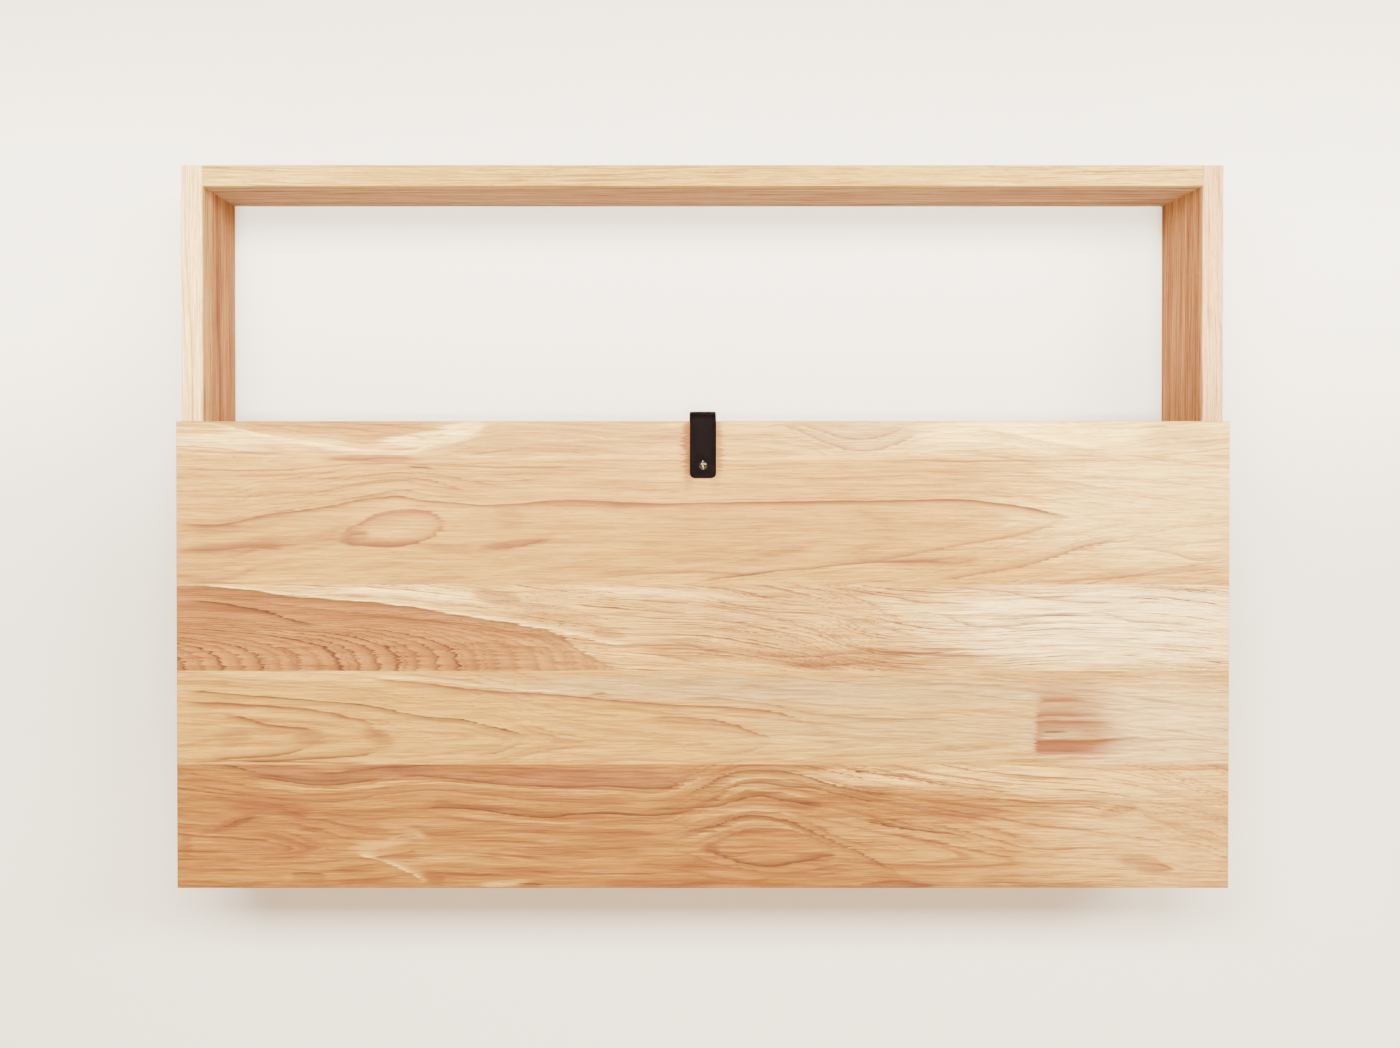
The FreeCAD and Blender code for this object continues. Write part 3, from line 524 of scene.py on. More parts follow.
class Finish:
    """What every finish can do: build a material and put it on pieces."""

    name: str

    def look(self, bench: Bench) -> Look:
        """Work out the look on the material's bench; every finish has its own."""
        raise NotImplementedError

    def surface(self, bench: Bench, shader: bpy.types.Node) -> bpy.types.NodeSocket:
        """Return what the material shows, which is the plain shader as a rule."""
        return shader.outputs[0]

    def build(self) -> bpy.types.Material:
        """Build the material.

        Returns:
            The material.
        """
        material = bpy.data.materials.new(self.name)
        material.use_nodes = True
        tree = material.node_tree
        tree.nodes.clear()
        bench = Bench(tree)
        look = self.look(bench)
        shader = bench.node("ShaderNodeBsdfPrincipled")
        bench.feed(shader.inputs["Base Color"], look.colour)
        bench.feed(shader.inputs["Roughness"], look.roughness)
        shader.inputs["Metallic"].default_value = look.metallic
        shader.inputs["Specular IOR Level"].default_value = look.gloss
        if look.height is not None:
            bump = bench.node("ShaderNodeBump")
            bump.inputs["Strength"].default_value = 1.0
            bump.inputs["Distance"].default_value = look.relief_mm * MM
            bench.feed(bump.inputs["Height"], look.height)
            tree.links.new(bump.outputs[0], shader.inputs["Normal"])
        out = bench.node("ShaderNodeOutputMaterial")
        tree.links.new(self.surface(bench, shader), out.inputs["Surface"])
        return material

    def put_on(self, *pieces: bpy.types.Object) -> None:
        """Give some pieces this finish in all their slots.

        Args:
            pieces: the pieces.
        """
        material = self.build()
        for piece in pieces:
            if not piece.material_slots:
                piece.data.materials.append(material)
            for slot in piece.material_slots:
                slot.material = material


@dataclass(frozen=True)
class Bend:
    """A place where the rings are pushed aside, in millimetres."""

    along: float
    across: float
    half_length: float
    half_height: float
    push: float
    tilt: float = 0.0


@dataclass(frozen=True)
class Tint:
    """A streaky patch of another colour, in millimetres."""

    along: float
    across: float
    half_length: float
    half_height: float
    colour: Colour
    share: float
    tilt: float = 0.0
    soft: float = 0.16


@dataclass(frozen=True)
class Stroke:
    """One growth line through some points, in millimetres.

    A fade above 0 lies above the line and one below 0 lies under it.
    """

    points: tuple[Point, ...]
    colour: Colour
    share: float = 0.7
    fade: float = 2.2
    crisp: float = 0.8
    soft_start: float = 26.0
    soft_end: float = 26.0


@dataclass(frozen=True)
class Heart:
    """Heartwood under a border line, with arcs about a centre, in millimetres."""

    border: tuple[Point, ...]
    pale: Colour
    deep: Colour
    line: Colour
    along: float
    across: float
    half_length: float
    half_height: float
    arcs: float
    fades_from: float
    fades_to: float


@dataclass(frozen=True)
class Wood(Finish):
    """A board whose rings follow one line from above and one from below.

    The ring height of a point is the smooth larger of its height above the
    upper line and its depth below the lower line, so the rings run beside
    both lines and turn round in a nose where the lines cross. Places along
    the board are shaken by the fibre, which makes noses and ends ragged.
    Veins run with the rings, and tints and strokes are laid over them. The
    swing is how far the flames take the colour from pale to deep, and the
    contrast is how strongly the streaks darken it.
    """

    name: str
    pale: Colour
    deep: Colour
    upper: tuple[Point, ...]
    lower: tuple[Point, ...] = ((-500, -390), (500, -390))
    grain: Grain = Grain.ALONG_DESK_UPRIGHT
    line: Colour = RUST
    nose: float = 14.0
    pitch_outside: float = 9.0
    pitch_inside: float = 16.0
    line_share: float = 0.5
    fine_share: float = 0.22
    vein_share: float = 0.50
    depth_lean: float = 1.7
    figure_lean: float = 0.12
    face: float = -154.0
    bends: tuple[Bend, ...] = ()
    tints: tuple[Tint, ...] = ()
    strokes: tuple[Stroke, ...] = ()
    heart: Heart | None = None
    warmth: float = 0.5
    wander: float = 4.0
    ripple: float = 2.2
    ragged: float = 24.0
    shift: float = 0.0
    gloss: float = 0.12
    contrast: float = 1.0
    swing: float = 1.5

    def look(self, bench: Bench) -> Look:
        """Draw the rings, then the tints, the heart, the strokes and the fibre.

        Args:
            bench: the material's bench.

        Returns:
            The board's look.
        """
        axes = dict(zip("XYZ", bench.place_in_mm()))
        along, across, depth = (axes[letter] for letter in self.grain.value)
        inward = depth - self.face
        leaning = (along, across + inward * self.figure_lean, depth)
        wander, ripple = (bench.noise(kind, leaning, self.shift) - 0.5
                          for kind in (Noise.WANDER, Noise.RIPPLE))
        across = across + wander * self.wander + ripple * self.ripple
        fibre = bench.effect("wood fibre", Along=along, Across=across + self.shift * 50,
                             Depth=depth)
        streak, flame = fibre["Streak"] - 0.5, fibre["Flame"] - 0.5
        along = along + streak * self.ragged
        count = self.ring_count(bench, along, across, inward)
        rings = bench.effect("growth rings", Count=count + self.shift)

        # Flames and ring bands lead the colour from pale to deep
        tone = flame * self.swing + (rings["Band"] - 0.5) * 1.3 + self.warmth
        colour = bench.blend(tone.clamped(), self.pale, self.deep)
        # Each tint ends at a level of its mask, and the fibre frays that edge
        frayed, tint_edge = (flame + streak) * 0.54, 0.42
        for tint in self.tints:
            share = (self.patch(bench, along, across, tint) + frayed).ramp(
                tint_edge - tint.soft, tint_edge + tint.soft, 0.0, tint.share)
            colour = bench.blend(share, colour, tint.colour)
        # Ring lines come and go with the clouds, and veins run beside them
        vein = bench.noise_at(bench.vector(along / 130, count * 2.2, self.shift), 2.0, 0.55)
        lines = rings["Line"] * self.line_share + rings["Fine"] * self.fine_share
        lines = lines * fibre["Cloud"].ramp(0.30, 0.60, 0.30, 1.0)
        lines = lines + vein.ramp(0.50, 0.70) * self.vein_share
        if self.heart:
            colour, lines = self.add_heart(bench, colour, lines, along, across, tone)
        colour = bench.blend(lines.clamped(), colour, self.line)
        # Strokes are broken up by the fibre
        grip = streak * 2.4 + flame * 1.6 + 1.6
        for stroke in self.strokes:
            share = self.draw(bench, along, across, stroke) * grip
            colour = bench.blend((share * stroke.share).clamped(), colour, stroke.colour)

        # Streaks and hairs take away more blue than red
        dark = fibre["Streak"].ramp(0.30, 0.70, 0.38, -0.17)
        dark = (dark + (0.5 - fibre["Hair"]) * 0.22) * self.contrast
        shade = bench.joined("ShaderNodeCombineColor",
                             *(1 - dark * part for part in (0.75, 1.0, 1.25)))
        colour = bench.blend(1.0, colour, shade, "MULTIPLY")
        colour = bench.blend(fibre["Pore"] * 0.30, colour, self.line)
        return Look(colour, 0.52 + streak * 0.16 + rings["Line"] * 0.04,
                    fibre["Streak"] * 0.5 - fibre["Pore"] * 0.8 - rings["Line"] * 0.3,
                    relief_mm=0.035, gloss=self.gloss)

    def ring_count(self, bench: Bench, along: Wire, across: Wire, inward: Wire) -> Wire:
        """Count the rings from the two lines to a place.

        Args:
            bench: the material's bench.
            along, across: the place on the board.
            inward: how far it lies behind the board's face.

        Returns:
            The count, above 0 outside the lines and below 0 between them.
        """
        height = bench.math("SMOOTH_MAX", across - bench.line_through(along, self.upper),
                            bench.line_through(along, self.lower) - across, self.nose)
        height = height + inward * self.depth_lean
        for bend in self.bends:
            height = height + self.patch(bench, along, across, bend) * bend.push
        return (bench.math("MAXIMUM", height, 0.0) / self.pitch_outside
                + bench.math("MINIMUM", height, 0.0) / self.pitch_inside)

    def add_heart(self, bench: Bench, colour: Wire, lines: Wire, along: Wire, across: Wire,
                  tone: Wire) -> tuple[Wire, Wire]:
        """Colour the heartwood and draw its arcs.

        The arcs are ovals with flattened tops about a centre: the fourth
        power of the height is taken beside the square of the length.

        Args:
            bench: the material's bench.
            colour, lines: the board's colour and ring lines so far.
            along, across: the place on the board.
            tone: how deep the colour is.

        Returns:
            The colour and ring lines with the heartwood.
        """
        heart = self.heart
        inside = (bench.line_through(along, heart.border) - across).ramp(-0.4, 0.8)
        inside = inside * along.ramp(heart.fades_from, heart.fades_to, 1.0, 0.72)
        length = (along - heart.along) / heart.half_length
        rise = (across - heart.across) / heart.half_height
        count = bench.math("SQRT", length * length + rise.power(4.0)) * heart.arcs
        arcs = bench.effect("growth rings", Count=count)
        part = (count * 0.5).fraction()
        arc = arcs["Line"] * 1.35 + part.power(2.2) * part.ramp(0.9, 1.0, 1.0, 0.0) * 0.72
        wood = bench.blend(((tone - self.warmth) + (arcs["Band"] - 0.5) * 0.8 + 0.5).clamped(),
                           heart.pale, heart.deep)
        wood = bench.blend((arc + arcs["Fine"] * 0.15).clamped(), wood, heart.line)
        return bench.blend(inside, colour, wood), lines * (1 - inside)

    @staticmethod
    def draw(bench: Bench, along: Wire, across: Wire, stroke: Stroke) -> Wire:
        """Draw one growth line.

        Args:
            bench: the material's bench.
            along, across: the place on the board.
            stroke: the line.

        Returns:
            Its mask.
        """
        away = across - bench.line_through(along, stroke.points)
        places = [place for place, _ in stroke.points]
        return bench.effect("growth line", Distance=away if stroke.fade > 0 else -away,
                            Crisp=stroke.crisp, Fade=abs(stroke.fade), Along=along,
                            Start=min(places), End=max(places), Soft_Start=stroke.soft_start,
                            Soft_End=stroke.soft_end)["Mask"]

    @staticmethod
    def patch(bench: Bench, along: Wire, across: Wire, mark: Bend | Tint) -> Wire:
        """Lay one bend or tint.

        Args:
            bench: the material's bench.
            along, across: the place on the board.
            mark: the bend or tint.

        Returns:
            Its mask.
        """
        return bench.effect("soft patch", Along=along, Across=across, Centre_Along=mark.along,
                            Centre_Across=mark.across, Half_Length=mark.half_length,
                            Half_Height=mark.half_height, Tilt=mark.tilt)["Mask"]


def front_tint(colour: Colour, share: float = 0.90, half_height: float = 10) -> Tint:
    """Return the colour of a carcass board's front edge, over its whole length."""
    return Tint(0, -137, 4000, half_height, colour, share)


@dataclass(frozen=True)
class CarcassBoard(Wood):
    """A carcass board: pale at the front edge and redder behind."""

    pale: Colour = (0.48, 0.26, 0.10)
    deep: Colour = (0.23, 0.088, 0.052)
    upper: tuple[Point, ...] = ((-500, -60), (-200, -72), (100, -58), (320, -68), (500, -62))
    grain: Grain = Grain.ALONG_DESK_FLAT
    line: Colour = UMBER
    pitch_outside: float = 7.0
    pitch_inside: float = 7.0
    line_share: float = 0.42
    depth_lean: float = 2.2
    face: float = 0.0
    tints: tuple[Tint, ...] = (front_tint(CREAM),)
    warmth: float = 0.45
    gloss: float = 0.0


@dataclass(frozen=True)
class Metal(Finish):
    """A satin metal with brushed lines, smudges and small pits."""

    name: str
    bright: Colour
    dull: Colour
    roughness: float = 0.34
    brushed: float = 0.12

    def look(self, bench: Bench) -> Look:
        """Lay tarnish over the bright metal and brush it along the desk.

        Args:
            bench: the material's bench.

        Returns:
            The metal's look.
        """
        along, depth, height = bench.place_in_mm()
        wear = bench.effect("handled metal", Along=along, Across=depth, Depth=height)
        colour = bench.blend(wear["Smudge"].ramp(0.36, 0.68, 0.08, 0.75), self.bright, self.dull)
        colour = bench.blend(wear["Pit"] * 0.35, colour, self.dull)
        smudged = 0.14
        roughness = (wear["Brush"] * self.brushed + wear["Smudge"] * smudged
                     + (self.roughness - self.brushed / 2 - smudged / 2))
        return Look(colour, roughness, wear["Brush"] - wear["Pit"] * 0.6, relief_mm=0.012,
                    metallic=1.0)


@dataclass(frozen=True)
class Rubber(Finish):
    """Soft clear grey rubber with a fine pebble and a little dust."""

    name: str = "pad rubber"
    colour: Colour = paint(176, 172, 165)
    dust: Colour = paint(208, 202, 192)

    def look(self, bench: Bench) -> Look:
        """Lay dust over pebbled rubber.

        Args:
            bench: the material's bench.

        Returns:
            The rubber's look.
        """
        place = bench.place_in_mm()
        dust = bench.noise(Noise.DUST, place)
        return Look(bench.blend(dust.ramp(0.45, 0.7, 0.0, 0.6), self.colour, self.dust),
                    0.42 + dust * 0.2, bench.noise(Noise.PEBBLE, place), relief_mm=0.03)


@dataclass(frozen=True)
class Leather(Finish):
    """Waxed dark brown leather with burnished edges.

    Small cells with raised middles make the grain and slow noise makes the
    pull-up. Point attributes mark the burnished edges, the crown of the fold
    and the dent round the screw. The crown is painted lighter, partly as wear
    and partly as a painted highlight where the fold turns to the light.
    """

    name: str = "pull leather"
    dark: Colour = (0.0012, 0.0003, 0.0005)
    # Lighter leather for the pull-up, and for the crown of the fold, where it stands for wear and
    # a painted highlight
    wear_and_highlight: Colour = (0.0066, 0.0034, 0.0028)
    edge: Colour = (0.0012, 0.0004, 0.0003)
    cell_mm: float = 0.55

    def look(self, bench: Bench) -> Look:
        """Draw the cells, the pull-up and the marks.

        Args:
            bench: the material's bench.

        Returns:
            The leather's look.
        """
        place = bench.place_in_mm()
        crease = bench.noise(Noise.CREASE, place)
        shaken = bench.node("ShaderNodeVectorMath", operation="ADD")
        bench.feed(shaken.inputs[0], bench.vector(*(part / self.cell_mm for part in place)))
        bench.feed(shaken.inputs[1], bench.vector(crease, crease * 0.7, crease * 1.3))
        cells = bench.node("ShaderNodeTexVoronoi", feature="DISTANCE_TO_EDGE")
        bench.tree.links.new(shaken.outputs[0], cells.inputs["Vector"])
        cells.inputs["Scale"].default_value = 1.0
        cell = Wire(bench, cells.outputs["Distance"]).ramp(0.0, 0.22)
        pull_up = bench.noise(Noise.PULL_UP, place)
        burnish, crown_wear_and_highlight, dent = (self.read(bench, name) for name in ("burnish", "crown_wear_and_highlight", "dent"))
        colour = bench.blend(pull_up.ramp(0.42, 0.70, 0.0, 0.40), self.dark, self.wear_and_highlight)
        # The crown of the fold is painted lighter, as wear and as a painted highlight
        colour = bench.blend(crown_wear_and_highlight * 0.9, colour, self.wear_and_highlight)
        colour = bench.blend((1 - cell) * 0.35 + dent * 0.4, colour, self.edge)
        colour = bench.blend(burnish * 0.85, colour, self.edge)
        return Look(colour, 0.46 - burnish * 0.14 + (pull_up - 0.5) * 0.2 + (1 - cell) * 0.1,
                    cell * (1 - burnish * 0.8) + crease * 0.5, relief_mm=0.05, gloss=0.03)

    @staticmethod
    def read(bench: Bench, name: str) -> Wire:
        """Read a point attribute of the strap."""
        made = bench.node("ShaderNodeAttribute", attribute_type="GEOMETRY", attribute_name=name)
        return Wire(bench, made.outputs["Fac"])


@dataclass(frozen=True)
class Plywood(Finish):
    """Rotary-cut veneer: wide lazy figure on the faces and plies at the edges."""

    name: str = "back plywood"
    pale: Colour = (0.55, 0.34, 0.085)
    deep: Colour = (0.36, 0.20, 0.05)
    core: Colour = (0.14, 0.068, 0.022)
    ply_mm: float = 2.0

    def look(self, bench: Bench) -> Look:
        """Draw the veneer, and the plies where the surface doesn't look along the depth.

        Args:
            bench: the material's bench.

        Returns:
            The plywood's look.
        """
        place = along, depth, height = bench.place_in_mm()
        rings = bench.effect("growth rings",
                             Count=bench.noise(Noise.VENEER, place) * 16 + height / 90)
        fibre = bench.effect("wood fibre", Along=along, Across=height, Depth=depth)
        tone = (fibre["Flame"] - 0.5) * 1.2 + (rings["Band"] - 0.5) + 0.5
        colour = bench.blend(tone.clamped(), self.pale, self.deep)
        colour = bench.blend(rings["Line"] * 0.35 + fibre["Pore"] * 0.12, colour, self.core)
        normal = bench.apart(bench.node("ShaderNodeNewGeometry").outputs["Normal"])
        edge = 1 - abs(normal[1]).ramp(0.4, 0.6)
        stripe = abs(((depth + 18) / self.ply_mm).fraction() - 0.5).ramp(0.2, 0.3)
        colour = bench.blend(edge * (0.35 + stripe * 0.4), colour, self.core)
        return Look(colour, 0.56 + (fibre["Streak"] - 0.5) * 0.14,
                    fibre["Streak"] * 0.6 - fibre["Pore"], relief_mm=0.03, gloss=0.35)


@dataclass(frozen=True)
class Plaster(Finish):
    """Matt paint of the room, which can't be seen from behind."""

    name: str
    colour: Colour

    def look(self, bench: Bench) -> Look:
        """Mottle the paint a very little.

        Args:
            bench: the material's bench.

        Returns:
            The paint's look.
        """
        darker = tuple(part * 0.985 for part in self.colour)
        mottle = bench.noise(Noise.MOTTLE, bench.place_in_mm())
        return Look(bench.blend(mottle, self.colour, darker), 0.85, gloss=0.2)

    def surface(self, bench: Bench, shader: bpy.types.Node) -> bpy.types.NodeSocket:
        """Show the paint in front and nothing behind.

        Args:
            bench: the material's bench.
            shader: the paint's shader.

        Returns:
            The socket to be shown.
        """
        side = bench.node("ShaderNodeNewGeometry")
        clear = bench.node("ShaderNodeBsdfTransparent")
        mixed = bench.node("ShaderNodeMixShader")
        parts = side.outputs["Backfacing"], shader.outputs[0], clear.outputs[0]
        for given, socket in zip(parts, mixed.inputs):
            bench.tree.links.new(given, socket)
        return mixed.outputs[0]


# The staves, in millimetres of the desk's frame

# Runs of points that two lines of a stave share
SECOND_CREST = ((-500, -23), (-446, -23), (-422, -16), (-387, -11.6), (-357, -7), (-327, -1),
    (-303, 1.8), (-286, 3.3))
HEART_BORDER = ((-461, -82.5), (-416, -87), (-387, -92), (-342, -96.5), (-297, -100.5),
    (-268, -104), (-238, -109), (-208, -113.5), (-178, -118), (-149, -124), (-134, -130))
FOURTH_CREST = ((-500, -181), (-446, -185), (-372, -191), (-312, -197), (-283, -203), (-253, -207),
    (-223, -209.5))
LEFT_SEAM = ((-437, -262), (-402, -268), (-378, -271), (-348, -271), (-322, -268))
RIGHT_SEAM = ((-298, -264), (-268, -263.5), (-238, -266), (-208, -269.5), (-178, -272),
    (-125, -275), (-90, -274), (-50, -275.5), (-28, -273), (-12, -264), (-2, -256))

# The warm shade beside the strap, on both staves that it crosses
STRAP_SHADE = (
    Tint(-13, 50, 7.0, 36, (0.15, 0.046, 0.010), 0.95, 0.0, 0.30),
    Tint(13, 50, 6.0, 36, (0.20, 0.080, 0.014), 0.75, 0.0, 0.30),
)

TOP_STAVE = Wood(
    name="top stave", pale=(0.57, 0.365, 0.088), deep=(0.285, 0.148, 0.026), pitch_outside=7.0,
    pitch_inside=6.0, line_share=0.4, warmth=0.36, shift=3.1, wander=2.0, vein_share=0.30,
    contrast=0.95,
    upper=((-500, 74), (-457, 72), (-398, 62), (-349, 52), (-310, 47), (-250, 56), (-210, 68),
        (-150, 70), (-60, 62), (60, 64), (100, 58), (135, 46), (165, 50), (210, 66), (268, 68),
        (389, 46), (440, 50), (500, 56)),
    tints=(
        Tint(-430, 55, 90, 9, CREAM, 0.35),
        Tint(-380, 48, 50, 5, ROSE, 0.30, -0.06, 0.3),
        Tint(-330, 68, 110, 11, HONEY, 0.55, -0.02),
        Tint(-258, 58, 46, 8, CREAM, 0.62, 0.10),
        Tint(-230, 66, 26, 6, CREAM, 0.55, 0.12),
        Tint(360, 60, 230, 40, CREAM, 0.35, 0.0, 0.34),
        Tint(-110, 60, 110, 15, ROSE, 0.30),
        Tint(150, 62, 60, 14, DUSK, 0.55),
        Tint(330, 62, 120, 14, CREAM, 0.5),
        Tint(450, 58, 44, 9, ROSE, 0.30),
        *STRAP_SHADE,
    ),
    strokes=(
        Stroke(((-470, 73), (-413, 61), (-372, 54), (-327, 47.5), (-297, 45.5), (-268, 48),
            (-250, 57), (-238, 63)), CREAM, 0.42, -3.0),
        Stroke(((-440, 70), (-360, 68), (-300, 63), (-245, 55)), RUST, 0.40, 1.5),
        Stroke(((-380, 73), (-300, 70), (-240, 62)), RUST, 0.35, 1.2),
        Stroke(((-500, 45), (-480, 45), (-430, 44), (-380, 42.5)), RUST, 0.50, 1.2),
        Stroke(((60, 72), (90, 66), (115, 55), (140, 47), (165, 47), (190, 55), (212, 68)), ROSE,
            0.60, 2.4),
        Stroke(((80, 74), (110, 66), (140, 57), (170, 60), (196, 72)), ROSE, 0.55, 2.0),
        Stroke(((268, 68), (330, 57), (389, 45)), CREAM, 0.40, 2.2, 0.6),
        Stroke(((262, 66), (325, 55), (384, 43)), ROSE, 0.30, -2.0),
    ),
)
SECOND_STAVE = Wood(
    name="second stave", pale=SAND, deep=TAN, nose=12.0, pitch_outside=5.5, pitch_inside=26.0,
    line_share=0.42, fine_share=0.26, vein_share=0.40, warmth=0.46, shift=7.7, wander=2.0,
    contrast=0.95,
    upper=(*SECOND_CREST, (-260, -1), (-208, -5), (-134, -1.5), (-60, -4), (6, -3.5), (150, -1),
        (252, -1), (310, -8), (356, -17), (500, -36)),
    lower=((-500, -140), (-300, -125), (-150, -104), (-3, -80), (128, -60), (226, -49), (300, -33),
        (356, -17), (430, -2), (500, 8)),
    tints=(
        Tint(-440, -25, 62, 7, ROSE, 0.42, 0.10, 0.26),
        Tint(-446, -47, 56, 6, ROSE, 0.60, 0.04),
        Tint(-310, 39, 54, 4, ROSE, 0.60),
        Tint(-330, -35, 16, 5, ROSE, 0.55, 0.2),
        Tint(-293, -27, 44, 13, SAND, 0.6, 0.0, 0.3),
        Tint(-183, -18, 14, 11, ROSE, 0.40, 0.0, 0.3),
        Tint(-180, -43, 36, 5, ROSE, 0.60, 0.13),
        Tint(60, -36, 230, 26, TAN, 0.40),
        Tint(-250, -62, 300, 12, TAN, 0.30, 0.0, 0.3),
        Tint(440, -10, 150, 60, CREAM, 0.42, 0.0, 0.3),
        Tint(100, 40, 420, 2.2, WHEAT, 0.45),
        Tint(220, -59, 46, 4, ROSE, 0.55, 0.04),
        *STRAP_SHADE,
    ),
    strokes=(
        Stroke((*SECOND_CREST, (-268, -1), (-238, -3), (-208, -5.5), (-178, -4.5), (-134, -1.5),
            (-60, -4)), RUST, 0.60, -2.6),
        Stroke(((-100, -2), (-60, -3.5), (6, -3.5), (90, -2), (160, -1.5), (252, -1), (310, -8),
            (352, -19)), RUST, 0.72, -3.4),
        Stroke(((-500, -19), (-440, -20), (-400, -12), (-357, -4)), ROSE, 0.35, 1.6),
        Stroke(((-363, -3), (-327, 2), (-303, 6), (-286, 9), (-268, 6), (-250, 3)), RUST, 0.40,
            -1.6),
        Stroke(((-363, 10.5), (-327, 15), (-292, 18.5), (-262, 18.5), (-238, 12), (-218, 6)), RUST,
            0.45, -1.6),
        Stroke(((-380, 18), (-327, 22), (-292, 25), (-255, 24), (-220, 17), (-180, 12)), RUST,
            0.36, -1.6),
        Stroke(((-500, 28.5), (-440, 27), (-400, 27), (-360, 31), (-300, 34), (-230, 31),
            (-160, 30)), RUST, 0.50, 1.3),
        Stroke(((-500, 21), (-430, 22), (-380, 24), (-330, 27)), RUST, 0.36, 1.3),
        Stroke(((-500, 3), (-440, 2), (-380, 6), (-330, 9)), ROSE, 0.36, 1.6),
        Stroke(((-363, 37), (-330, 37), (-300, 39), (-262, 38)), RUST, 0.55, 2.0),
        Stroke(((-284, 30), (-270, 29.5), (-256, 28)), UMBER, 0.70, 1.6, 0.8, 6, 10),
        Stroke(((-200, 30), (-150, 30), (-120, 29)), RUST, 0.5, 1.2),
        Stroke(((-346, -38), (-338, -42), (-320, -43.5), (-292, -44.5), (-268, -40), (-252, -31),
            (-244, -22)), RUST, 0.60, 4.6, 1.6, 10, 6),
        Stroke(((-347, -37), (-334, -27), (-318, -18), (-303, -13.5), (-288, -10.5), (-270, -10),
            (-254, -14), (-244, -23)), ROSE, 0.80, -4.6, 1.6, 12, 6),
        Stroke(((-340, -37), (-327, -33), (-314, -34)), RUST, 0.5, 3.0, 1.2, 8, 10),
        Stroke(((-216, -47), (-190, -46.5), (-172, -44), (-149, -38.5), (-132, -35)), RUST, 0.55,
            2.6, 1.0),
        Stroke(((-500, -50), (-460, -48), (-430, -46), (-398, -48)), RUST, 0.45, 3.0, 1.0, 26, 8),
        Stroke(((-500, -79.5), (-461, -79.5), (-430, -81)), RUST, 0.6, 1.2),
        Stroke(((-10, -79), (34, -73), (62, -69.5), (106, -65), (150, -61), (196, -59.5),
            (243, -60)), RUST, 0.66, 2.2),
        Stroke(((150, -62), (190, -54), (226, -47), (262, -41), (310, -32), (345, -21)), ROSE,
            0.60, 2.4),
        Stroke(((215, -78), (250, -73.5), (285, -67.5), (330, -57), (360, -46), (400, -40)), ROSE,
            0.70, 2.4),
        Stroke(((300, -80), (360, -77), (420, -72), (500, -66)), ROSE, 0.50, 3.0),
        Stroke(((400, -47), (440, -50), (470, -58), (500, -54)), ROSE, 0.45, 2.4),
        Stroke(((200, 36), (330, 36.5), (460, 37)), RUST, 0.40, 1.2),
        Stroke(((330, 20), (430, 19), (500, 21)), RUST, 0.30, 1.2),
        Stroke(((120, 24), (220, 26), (330, 25)), ROSE, 0.40, 1.4),
        Stroke(((40, 14), (140, 12), (260, 14)), ROSE, 0.36, 1.4),
        Stroke(((-110, -76), (-40, -70), (10, -70), (60, -74)), RUST, 0.40, 2.0),
    ),
)
